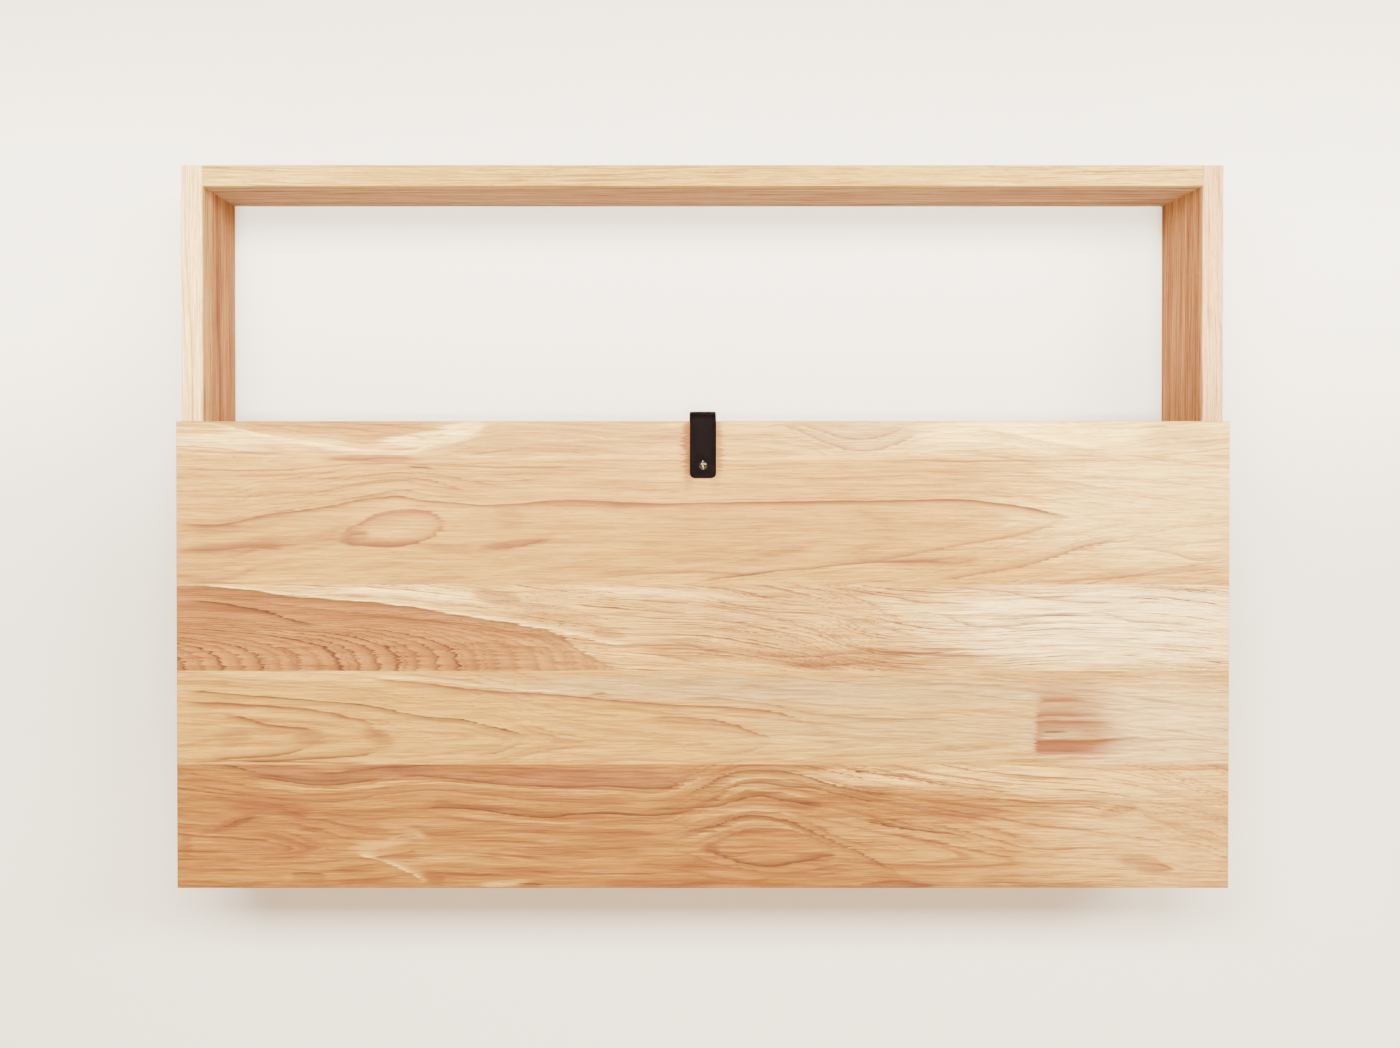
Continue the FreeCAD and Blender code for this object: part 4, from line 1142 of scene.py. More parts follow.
THIRD_STAVE = Wood(
    name="third stave", pale=(0.67, 0.43, 0.10), deep=(0.41, 0.23, 0.047), pitch_outside=2.6,
    pitch_inside=2.6, line_share=0.85, fine_share=0.5, vein_share=0.85, warmth=0.50, contrast=1.0,
    shift=1.9, wander=6.0,
    upper=((-500, -66), (-323, -76), (-179, -90), (-94, -102), (-40, -106), (0, -108), (50, -112),
        (100, -120), (150, -134), (200, -140), (260, -142), (350, -138), (500, -148)),
    bends=(Bend(60, -100, 60, 12, 7), Bend(150, -112, 60, 10, -6), Bend(-10, -130, 50, 12, -5)),
    tints=(
        Tint(-270, -90, 90, 8, CREAM, 0.60, -0.06, 0.3),
        Tint(-325, -93, 16, 2, ROSE, 0.55, -0.08, 0.3),
        Tint(-286, -95, 16, 2, ROSE, 0.55, -0.08, 0.3),
        Tint(-196, -92, 24, 8, ROSE, 0.60, -0.1),
        Tint(-140, -106, 46, 8, ROSE, 0.35, -0.2),
        Tint(-90, -127, 18, 5, ROSE, 0.7, -0.1),
        Tint(-50, -90, 90, 5, CREAM, 0.40, -0.04, 0.34),
        Tint(-16, -143, 40, 12, HONEY, 0.45, -0.1),
        Tint(140, -150, 140, 10, ROSE, 0.55, 0.0, 0.34),
        Tint(115, -157, 26, 4, RUST, 0.35),
        Tint(185, -148, 20, 3, RUST, 0.30),
        Tint(60, -110, 150, 34, (0.48, 0.29, 0.085), 0.5, 0.0, 0.34),
        Tint(250, -112, 80, 7, CREAM, 0.30, -0.12, 0.34),
        Tint(400, -118, 170, 44, IVORY, 0.80, 0.0, 0.34),
        Tint(310, -108, 60, 5, IVORY, 0.5, -0.2, 0.3),
    ),
    strokes=(
        Stroke(((-500, -80), (-416, -86), (-342, -95.5), (-268, -103), (-208, -112.5),
            (-149, -122), (-119, -129), (-95, -136), (-60, -137)), CREAM, 0.42, 2.2, 0.6),
        Stroke(((-497, -81), *HEART_BORDER, (-119, -141.5), (-98, -153), (-78, -161)), UMBER, 0.50,
            -1.8, 0.6),
        Stroke(((-497, -95.5), (-467, -97), (-437, -101.5), (-407, -107.5), (-387, -114),
            (-357, -119.5)), BARK, 0.62, -2.6),
        Stroke(((-497, -88), (-440, -93), (-387, -101), (-330, -108), (-270, -114), (-220, -122)),
            UMBER, 0.34, -2.0),
        Stroke(((-180, -134), (-160, -142), (-140, -152), (-128, -163)), RUST, 0.45, -3.0),
        Stroke(((-214, -126), (-190, -134), (-172, -146), (-160, -160)), RUST, 0.40, -4.0),
        Stroke(((-12, -83), (18, -86), (47, -92), (92, -97), (101, -107)), RUST, 0.50, 1.4),
        Stroke(((-12, -89), (12, -95), (47, -107), (60, -116)), RUST, 0.42, 1.4),
        Stroke(((62, -83), (107, -86), (154, -96.6), (178, -110), (202, -122)), RUST, 0.46, 1.4),
        Stroke(((107, -83), (154, -89), (196, -95), (226, -102.5)), RUST, 0.50, 1.4),
        Stroke(((-12, -100), (30, -106), (80, -117), (120, -130), (150, -140)), RUST, 0.42, 1.4),
        Stroke(((-12, -112), (30, -118), (70, -127), (110, -140)), RUST, 0.36, 1.4),
        Stroke(((100, -104), (140, -113), (180, -124), (220, -136)), RUST, 0.40, 1.4),
        Stroke(((226, -83), (285, -87.5), (335, -95), (400, -98)), ROSE, 0.50, 1.8),
        Stroke(((214, -98), (240, -116), (285, -122), (336, -126)), ROSE, 0.50, 2.0),
        Stroke(((336, -126), (360, -131), (420, -134)), ROSE, 0.36, 1.6),
        Stroke(((360, -107), (383, -108.5), (404, -116), (434, -117.5), (480, -120)), ROSE, 0.50,
            1.8),
        Stroke(((41, -147), (90, -149), (140, -146), (200, -147), (250, -144)), RUST, 0.50, 2.0),
        Stroke(((60, -155), (110, -158), (150, -155), (210, -157)), UMBER, 0.40, 2.0),
        Stroke(((-40, -135), (-12, -139), (20, -150), (40, -160)), RUST, 0.45, 2.0),
        Stroke(((-60, -146), (-20, -152), (10, -160)), RUST, 0.40, 2.0),
    ),
    heart=Heart(border=((-500, -81), *HEART_BORDER, (-119, -142), (-98, -154), (-78, -162),
        (0, -200), (500, -220)), pale=(0.36, 0.172, 0.036), deep=(0.24, 0.094, 0.020), line=UMBER,
        along=-640, across=-168, half_length=540, half_height=66, arcs=58, fades_from=-235,
        fades_to=-80),
)
FOURTH_STAVE = Wood(
    name="fourth stave", pale=(0.50, 0.30, 0.052), deep=(0.345, 0.188, 0.030), nose=8.0,
    pitch_outside=7.0, pitch_inside=9.0, line_share=0.5, vein_share=0.4, warmth=0.58, shift=5.3,
    wander=2.4, contrast=0.95,
    upper=(*FOURTH_CREST, (-208, -214), (-185, -219), (-157, -228), (-60, -242), (75, -254),
        (300, -275), (500, -300)),
    lower=((-500, -258), (-360, -252), (-223, -243), (-190, -240), (-157, -229), (-60, -222),
        (75, -212), (240, -203), (500, -190)),
    tints=(
        Tint(-380, -168, 150, 5, WHEAT, 0.35, 0.0, 0.34),
        Tint(230, -205, 230, 44, (0.44, 0.30, 0.095), 0.62, 0.0, 0.34),
        Tint(-20, -178, 190, 12, DUSK, 0.75, 0.0, 0.3),
        Tint(190, -182, 170, 12, DUSK, 0.60, 0.0, 0.3),
        Tint(-30, -221, 90, 12, TAN, 0.45),
        Tint(440, -215, 120, 50, (0.72, 0.56, 0.27), 0.50, 0.0, 0.34),
        Tint(-374, -226, 17, 9, RUST, 0.46, 0.0, 0.4),
        Tint(-308, -226, 17, 8, RUST, 0.46, -0.5, 0.4),
        Tint(-446, -226, 18, 8, ROSE, 0.55, 0.0, 0.3),
        Tint(350, -205, 34, 30, ROSE, 0.30, 0.0, 0.34),
    ),
    strokes=(
        Stroke((*FOURTH_CREST, (-208, -214.5), (-185, -219), (-160, -227)), UMBER, 0.64, -2.4),
        Stroke(((-223, -243), (-190, -240), (-173, -232.5), (-157, -229)), RUST, 0.50, 2.4),
        Stroke(((-172, -217), (-134, -226), (-108, -232)), ROSE, 0.50, -2.6),
        Stroke(((-208, -250), (-149, -240), (-108, -233)), ROSE, 0.40, 2.6),
        Stroke(((-316, -170), (-253, -176), (-193, -183), (-149, -185), (-104, -189), (-60, -193),
            (-29, -195), (16, -197), (62, -201), (84, -206), (101, -215)), RUST, 0.70, -2.4),
        Stroke(((-298, -165), (-253, -168.5), (-223, -172), (-178, -183)), ROSE, 0.45, -1.6),
        Stroke(((-330, -168), (-250, -173), (-180, -180), (-104, -186)), CREAM, 0.26, 1.8),
        Stroke(((-106, -186), (-88, -185)), UMBER, 0.6, 1.6, 0.8, 4, 6),
        Stroke(((-497, -192), (-446, -194), (-402, -197), (-372, -200), (-342, -206), (-318, -212),
            (-310, -222), (-300, -233)), RUST, 0.78, -2.6),
        Stroke(((-446, -250), (-402, -249), (-357, -246), (-315, -241), (-301, -234)), RUST, 0.76,
            2.6),
        Stroke(((-461, -204), (-437, -207), (-422, -212), (-396, -216), (-372, -218),
            (-357, -221)), RUST, 0.80, -3.2),
        Stroke(((-476, -249), (-431, -246), (-407, -244), (-378, -238), (-364, -232)), RUST, 0.70,
            2.6),
        Stroke(((-497, -234), (-470, -231), (-448, -229)), ROSE, 0.55, 2.2),
        Stroke(((-497, -203), (-461, -204), (-430, -205)), ROSE, 0.45, 2.0),
        Stroke(((-301, -211.5), (-286, -217.5), (-275, -223)), RUST, 0.50, -2.0),
        Stroke(((-500, -250), (-450, -249), (-400, -250), (-310, -251)), UMBER, 0.50, 1.2),
        Stroke(((-60, -208), (-3, -208.5), (28, -214), (54, -223.5), (74, -230)), RUST, 0.64,
            -2.4),
        Stroke(((-3, -245), (46, -239), (74, -231)), ROSE, 0.45, 2.0),
        Stroke(((-22, -187.5), (54, -193), (111, -204.5), (168, -208.5), (244, -207)), RUST, 0.40,
            -2.0),
        Stroke(((100, -215), (118, -222), (126, -232)), ROSE, 0.40, -2.0),
        Stroke(((60, -249), (110, -244), (150, -236), (168, -229)), WHEAT, 0.16, 2.4),
        Stroke(((168, -223), (178, -225), (190, -227)), RUST, 0.6, 1.6),
        Stroke(((-130, -254), (-60, -248), (10, -250), (60, -246)), ROSE, 0.40, 1.6),
        Stroke(((200, -240), (260, -236), (310, -232)), ROSE, 0.36, 2.0),
        Stroke(((400, -232), (440, -229), (500, -228)), ROSE, 0.40, 1.6),
        Stroke(((314, -242), (350, -242), (424, -242)), (0.24, 0.11, 0.05), 0.60, 54.0, 1.5, 5,
            66),
        Stroke(((319, -192), (345, -191), (370, -192)), ROSE, 0.8, 4.0, 2.0, 5, 30),
        Stroke(((316, -206), (350, -205), (392, -207)), RUST, 0.70, 4.0, 2.5, 4, 50),
        Stroke(((314, -211.5), (350, -211), (412, -213)), RUST, 0.58, -9.0, 1.5, 4, 60),
        Stroke(((322, -228), (350, -227), (380, -229)), DUSK, 0.60, 5.0, 1.6, 5, 30),
        Stroke(((322, -222), (336, -221.5), (352, -222)), BARK, 0.50, 1.4, 1.0, 5, 14),
        Stroke(((314, -231), (350, -230), (376, -229), (430, -224)), RUST, 0.80, -5.0, 2.0, 4, 70),
        Stroke(((313, -239.5), (350, -239), (384, -239)), RUST, 0.62, 4.0, 1.6, 5, 40),
    ),
)
BOTTOM_STAVE = Wood(
    name="bottom stave", pale=(0.325, 0.172, 0.027), deep=(0.172, 0.066, 0.0105),
    pitch_outside=5.0, pitch_inside=7.5, line_share=0.80, fine_share=0.42, vein_share=0.75,
    warmth=0.52, shift=9.2, wander=6.0, ragged=26.0, contrast=1.0, swing=2.2,
    upper=((-500, -264), (-424, -274), (-342, -278), (-257, -270), (-212, -272), (-146, -279),
        (-81, -282), (-38, -282), (-10, -274), (20, -263), (62, -257), (110, -262), (170, -274),
        (230, -285), (300, -294), (380, -300), (440, -312), (500, -330)),
    bends=(Bend(-250, -330, 120, 30, 14), Bend(330, -330, 90, 18, 12),
        Bend(-400, -310, 70, 22, -12), Bend(66, -333, 90, 22, 16)),
    tints=(
        Tint(370, -268, 180, 20, WHEAT, 0.55, -0.04, 0.34),
        Tint(210, -260, 120, 11, SAND, 0.60, 0.0, 0.3),
        Tint(-440, -330, 110, 34, HONEY, 0.45, 0.0, 0.3),
        Tint(-412, -292, 46, 7, RUST, 0.60, -0.06),
        Tint(-378, -303, 30, 5, RUST, 0.45, -0.22),
        Tint(-450, -309, 30, 5, RUST, 0.60, 0.35),
        Tint(-491, -329, 6, 13, RUST, 0.50),
        Tint(-300, -318, 120, 16, HONEY, 0.4),
        Tint(-284, -316, 22, 5, SAND, 0.48, -0.25, 0.3),
        Tint(-305, -328, 30, 5, SAND, 0.40, 0.20, 0.3),
        Tint(-240, -340, 34, 4, SAND, 0.35, 0.10, 0.3),
        Tint(-190, -366, 24, 3, SAND, 0.55, 0.1, 0.3),
        Tint(-256, -360, 12, 7, RUST, 0.55, -0.6),
        Tint(-200, -354, 60, 6, RUST, 0.35),
        Tint(-140, -339, 46, 6, RUST, 0.40),
        Tint(-82, -318, 40, 5, RUST, 0.60),
        Tint(-70, -328, 50, 6, RUST, 0.45),
        Tint(-20, -362, 70, 6, RUST, 0.40),
        Tint(60, -331, 52, 13, HONEY, 0.55, 0.0, 0.3),
        Tint(108, -341, 20, 5, RUST, 0.75),
        Tint(8, -332, 10, 6, RUST, 0.75),
        Tint(92, -290, 22, 5, RUST, 0.55, -0.1),
        Tint(188, -366, 40, 4, RUST, 0.70),
        Tint(340, -264, 210, 12, WHEAT, 0.70, 0.0, 0.34),
        Tint(320, -330, 190, 34, TAN, 0.75, 0.0, 0.3),
        Tint(440, -320, 120, 70, (0.54, 0.34, 0.10), 0.62, 0.0, 0.34),
        Tint(254, -299, 36, 5, ROSE, 0.85, 0.05),
        Tint(396, -296, 20, 6, ROSE, 0.55, 0.3),
        Tint(418, -345, 26, 9, ROSE, 0.60, -0.2),
        Tint(-90, -267, 110, 9, ROSE, 0.60),
        Tint(-380, -262, 60, 7, ROSE, 0.70, -0.05),
        Tint(-290, -256, 60, 4, RUST, 0.70),
        Tint(-115, -262, 16, 4, RUST, 0.55),
    ),
    strokes=(
        Stroke((*LEFT_SEAM, *RIGHT_SEAM), ROSE, 0.62, 8.0),
        Stroke((*LEFT_SEAM, (-298, -264)), UMBER, 0.66, 2.4, 0.6),
        Stroke(RIGHT_SEAM, UMBER, 0.62, 1.8, 0.6),
        Stroke(((-496, -251), (-461, -251.5), (-437, -256), (-410, -263)), UMBER, 0.55, -1.8),
        Stroke(((-434, -260), (-400, -265), (-360, -267.5), (-330, -265)), UMBER, 0.50, 2.0),
        Stroke(((-380, -260), (-339, -259), (-300, -254), (-250, -253)), UMBER, 0.55, -3.0),
        Stroke(((-230, -259), (-180, -264), (-130, -268), (-60, -268)), RUST, 0.55, 1.8),
        Stroke(((-200, -255), (-140, -259), (-70, -260), (-30, -262)), RUST, 0.50, 1.8),
        Stroke(((-497, -263), (-446, -271), (-402, -277.5), (-357, -279.5), (-327, -275.5),
            (-297, -273), (-238, -273), (-178, -278.5), (-119, -283), (-60, -284)), RUST, 0.55,
            -1.6, 0.6),
        Stroke(((-437, -266), (-402, -272), (-357, -275), (-322, -272), (-298, -268), (-238, -270),
            (-178, -275), (-90, -278), (-35, -279), (-8, -268), (20, -259)), SAND, 0.30, -3.0,
            0.6),
        Stroke(((-497, -271), (-461, -277), (-416, -284), (-372, -287), (-339, -287), (-297, -280),
            (-253, -277), (-208, -281), (-149, -287), (-60, -291.5)), RUST, 0.60, 2.0),
        Stroke(((-500, -279), (-461, -284), (-430, -290), (-390, -294)), RUST, 0.45, 2.4),
        Stroke(((-275, -298), (-259, -293.5), (-238, -293.7), (-208, -295.5), (-185, -299),
            (-149, -302.5), (-131, -300.6), (-89, -300), (-60, -301.5), (-39, -300.8), (-16, -298),
            (-4, -294)), UMBER, 0.78, 2.0, 0.7),
        Stroke(((-238, -297), (-190, -303), (-149, -306.5), (-100, -305)), SAND, 0.20, -2.0),
        Stroke(((-25, -286), (-2, -274.6), (19, -264.5), (33, -260), (65, -258.6), (88, -261.5),
            (112, -267), (135, -273), (164, -279), (193, -282)), UMBER, 0.62, -2.4),
        Stroke(((-14, -273), (4, -264), (30, -255), (62, -253.5), (95, -256), (130, -262)), RUST,
            0.42, -1.8),
        Stroke(((-10, -286), (13, -285), (19, -279), (30, -273), (54, -270), (83, -273),
            (106, -274.6), (126, -280), (150, -286), (180, -289)), UMBER, 0.62, 2.4),
        Stroke(((10, -280), (34, -268), (58, -265.5), (85, -268)), WHEAT, 0.22, 2.4),
        Stroke(((-60, -296), (-5, -293.5), (19, -290.5), (39, -283.5), (59, -282), (77, -286),
            (100, -290.5), (126, -296)), UMBER, 0.66, 2.4),
        Stroke(((4, -298), (36, -291), (60, -290), (84, -293), (112, -300)), RUST, 0.50, 2.0),
        Stroke(((8, -294), (36, -277), (60, -276), (84, -280), (112, -286)), WHEAT, 0.20, 2.4),
        Stroke(((-20, -309), (19, -300), (45, -295.5), (70, -297), (100, -306)), WHEAT, 0.18, 2.4),
        Stroke(((-20, -324), (19, -313), (45, -306), (70, -307), (110, -322)), WHEAT, 0.18, -2.4),
        Stroke(((-31, -321), (-10, -314), (19, -308), (33, -302.5), (59, -301), (83, -306.5),
            (106, -315), (123, -324), (141, -333), (158, -341.5), (173, -349), (193, -359)), UMBER,
            0.62, -2.6),
        Stroke(((83, -299), (106, -308), (129, -319.5), (150, -328), (176, -334)), RUST, 0.60,
            -2.2),
        Stroke(((141, -302), (164, -308), (193, -314), (222, -317.7), (256, -320.6)), UMBER, 0.72,
            2.0),
        Stroke(((-31, -328), (-10, -338.5), (19, -347), (48, -353), (88, -354.6), (120, -350),
            (150, -346)), RUST, 0.60, -2.6),
        Stroke(((2, -333), (19, -322), (42, -314), (65, -312), (88, -314), (106, -321),
            (124, -331), (128, -338)), RUST, 0.62, -2.6, 1.0, 6, 8),
        Stroke(((2, -333), (19, -339), (36, -345), (65, -349), (88, -346), (112, -342),
            (128, -338)), UMBER, 0.62, 3.0, 1.0, 6, 8),
        Stroke(((-60, -350), (-20, -354), (20, -362), (50, -366)), RUST, 0.50, 2.2),
        Stroke(((33, -369), (65, -360.5), (106, -359), (135, -354.6), (173, -350)), RUST, 0.50,
            2.2),
        Stroke(((141, -258), (150, -260), (158, -261)), BARK, 0.75, 2.0, 0.6, 6, 10),
        Stroke(((120, -252), (145, -258), (193, -264.5), (222, -270), (252, -273.5), (300, -280)),
            UMBER, 0.55, 1.6, 0.7),
        Stroke(((150, -252), (230, -262), (300, -272)), RUST, 0.40, 2.0),
        Stroke(((100, -262), (160, -276), (220, -288), (300, -293), (350, -291)), RUST, 0.45, 2.0),
        Stroke(((180, -282), (240, -291), (290, -296)), RUST, 0.40, 1.6),
        Stroke(((190, -296), (230, -301), (262, -303), (286, -297)), RUST, 0.55, 1.8),
        Stroke(((290, -309), (330, -312), (390, -314)), RUST, 0.40, 1.6),
        Stroke(((130, -340), (160, -347), (200, -351), (260, -352)), RUST, 0.36, 2.0),
        Stroke(((140, -372), (164, -363.5), (193, -363), (228, -370)), UMBER, 0.50, -4.0),
        Stroke(((180, -262), (260, -274), (330, -286), (420, -288), (500, -300)), ROSE, 0.42, 2.0),
        Stroke(((400, -290), (440, -310), (500, -332)), ROSE, 0.42, 3.0),
        Stroke(((280, -250), (380, -256), (500, -257)), ROSE, 0.45, 2.0),
        Stroke(((-446, -291.5), (-422, -287.5), (-402, -290), (-387, -298.5), (-357, -305)), RUST,
            0.60, -4.0),
        Stroke(((-473, -318.5), (-461, -314), (-449, -308), (-428, -302), (-407, -301)), UMBER,
            0.50, -4.0),
        Stroke(((-386, -313.5), (-372, -316), (-360, -317.5)), RUST, 0.60, 2.0, 0.8, 8, 10),
        Stroke(((-330, -337), (-312, -342), (-297, -346.5), (-280, -354), (-262, -367)), WHEAT,
            0.40, 3.0, 1.0, 12, 8),
        Stroke(((-315, -341), (-290, -337.5), (-266, -332)), RUST, 0.60, -3.0, 0.8, 8, 12),
        Stroke(((-270, -317.5), (-250, -316.5), (-226, -315.5)), RUST, 0.55, -2.4, 0.8, 8, 12),
        Stroke(((-296, -324), (-280, -320), (-262, -322)), RUST, 0.45, -2.0, 0.8, 8, 12),
        Stroke(((-394, -355.5), (-375, -355), (-355, -357)), UMBER, 0.55, -4.0, 0.8, 8, 10),
        Stroke(((-330, -362), (-305, -360), (-283, -357)), RUST, 0.60, -4.0, 0.8, 8, 10),
        Stroke(((-177, -366), (-165, -365.5), (-150, -367)), UMBER, 0.70, -3.0, 0.8, 6, 8),
    ),
)


# Meshes from grids

def grid_faces(rows: int, columns: int, round_columns: bool = False) -> list[list[int]]:
    """Return the four corners of each face of a grid of points.

    Args:
        rows, columns: how many points the grid has each way.
        round_columns: whether the last column meets the first again.

    Returns:
        Four point numbers for each face.
    """
    row, column = np.meshgrid(np.arange(rows - 1),
                              np.arange(columns if round_columns else columns - 1), indexing="ij")
    row, column = row.ravel() * columns, column.ravel()
    below, beside = row + columns, (column + 1) % columns
    return np.stack((row + column, below + column, below + beside, row + beside), axis=1).tolist()


def mesh_piece(name: str, points: np.ndarray, faces: list) -> bpy.types.Object:
    """Make a piece from points in metres and faces.

    Args:
        name: the piece's name.
        points: one row for each point.
        faces: point numbers of each face.

    Returns:
        The piece, at the origin.
    """
    mesh = bpy.data.meshes.new(name)
    mesh.from_pydata(points.reshape(-1, 3).tolist(), [], faces)
    piece = bpy.data.objects.new(name, mesh)
    bpy.context.scene.collection.objects.link(piece)
    return piece


def close_up(piece: bpy.types.Object, smooth_angle: float = 35.0) -> None:
    """Merge the doubles of a piece, turn its faces outwards and shade it.

    Args:
        piece: the piece.
        smooth_angle: degrees up to which an edge is shaded smooth.
    """
    merge = 0.002 * MM
    work = bmesh.new()
    work.from_mesh(piece.data)
    bmesh.ops.remove_doubles(work, verts=work.verts, dist=merge)
    bmesh.ops.dissolve_degenerate(work, edges=work.edges, dist=merge / 2)
    bmesh.ops.recalc_face_normals(work, faces=work.faces)
    for face in work.faces:
        face.smooth = True
    for edge in work.edges:
        if edge.is_manifold and edge.calc_face_angle(0.0) > math.radians(smooth_angle):
            edge.smooth = False
    work.to_mesh(piece.data)
    work.free()
    piece.data.update()


def attach(piece: bpy.types.Object, body: str, slot: str, *nodes: str) -> None:
    """Args:
        piece: the piece.
        body: what it rides on.
        slot: not used.
        nodes: the CAD nodes that it stands for, if any.
    """
    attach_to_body(piece, body)
    if nodes:
        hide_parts(*nodes)
    log.info("%s rides on %s", piece.name, body)


# Fittings

@dataclass
class SlottedHead:
    """A domed screw head with one slot, standing on a plane."""

    radius_mm: float
    height_mm: float
    rim_mm: float
    slot_width_mm: float
    slot_depth_mm: float
    columns: int
    rows: int
    rolled_mm: float = 0.10
    rolled_share: float = 0.05

    def surface(self, turn: float) -> tuple[np.ndarray, list]:
        """Work the head out on a grid that keeps to the slot's walls.

        Across the slot the grid has two columns at each wall, one at the
        dome and one at the floor. Along the slot a share from -1 to 1 is
        scaled by the half chord of the head's circle there. The height of
        the dome is that of a circle section above the rim, rolled down at
        the edge as the exponential of minus the squared distance from it,
        and the first and last points go down to the plane. The slot's floor
        is hollow: its depth falls by half from its middle to its walls.

        Args:
            turn: how far the slot is turned, in degrees.

        Returns:
            Points in millimetres (across, along, height) and faces.
        """
        half = self.slot_width_mm / 2
        side = self.radius_mm * np.sin(np.linspace(math.asin(half / self.radius_mm), math.pi / 2,
                                                   self.columns // 2))
        across = np.concatenate((-side[::-1], (-half, -half / 8, half / 8, half), side))
        in_slot = np.isin(np.arange(across.size), side.size + np.arange(4))
        chord = np.sqrt(np.maximum(self.radius_mm ** 2 - across ** 2, 0.0))
        share = np.sin(np.linspace(-math.pi / 2, math.pi / 2, self.rows))
        along = share[None, :] * chord[:, None]
        spread = (across[:, None] ** 2 + along ** 2) / self.radius_mm ** 2
        rise = self.height_mm - self.rim_mm
        ball = (self.radius_mm ** 2 + rise ** 2) / (2 * rise)
        dome = self.rim_mm + np.sqrt(ball ** 2 - spread * self.radius_mm ** 2) - (ball - rise)
        from_rim = (1 - np.sqrt(spread)) / self.rolled_share
        dome = dome - self.rolled_mm * np.exp(-from_rim ** 2)
        hollow = self.slot_depth_mm * (1 - 0.5 * np.minimum(np.abs(across) / half, 1.0))
        floor = self.height_mm - hollow[:, None]
        height = np.where(in_slot[:, None], np.minimum(dome, floor), dome)
        cosine, sine = math.cos(math.radians(turn)), math.sin(math.radians(turn))
        grid = np.stack((across[:, None] * cosine - along * sine,
                         across[:, None] * sine + along * cosine, height), axis=2)
        grid = np.concatenate((grid[:, :1], grid, grid[:, -1:]), axis=1)
        grid[:, (0, -1), 2] = 0
        rows, columns = grid.shape[:2]
        under = [[row * columns, (row + 1) * columns - 1, (row + 2) * columns - 1,
                  (row + 1) * columns] for row in range(rows - 1)]
        return grid.reshape(-1, 3), grid_faces(rows, columns) + under

    def standing(self, centre: Triple, outward: Triple, turn: float) -> tuple[np.ndarray, list]:
        """Stand the head on a plane.

        Args:
            centre: where its middle touches the plane, in millimetres.
            outward: the way the head looks.
            turn: how far the slot is turned, in degrees.

        Returns:
            Points in metres and faces.
        """
        points, faces = self.surface(turn)
        beside = (1.0, 0.0, 0.0) if outward[2] else np.cross((0.0, 0.0, 1.0), outward)
        upward = np.cross(outward, beside)
        return (centre + points @ np.array((beside, upward, outward))) * MM, faces


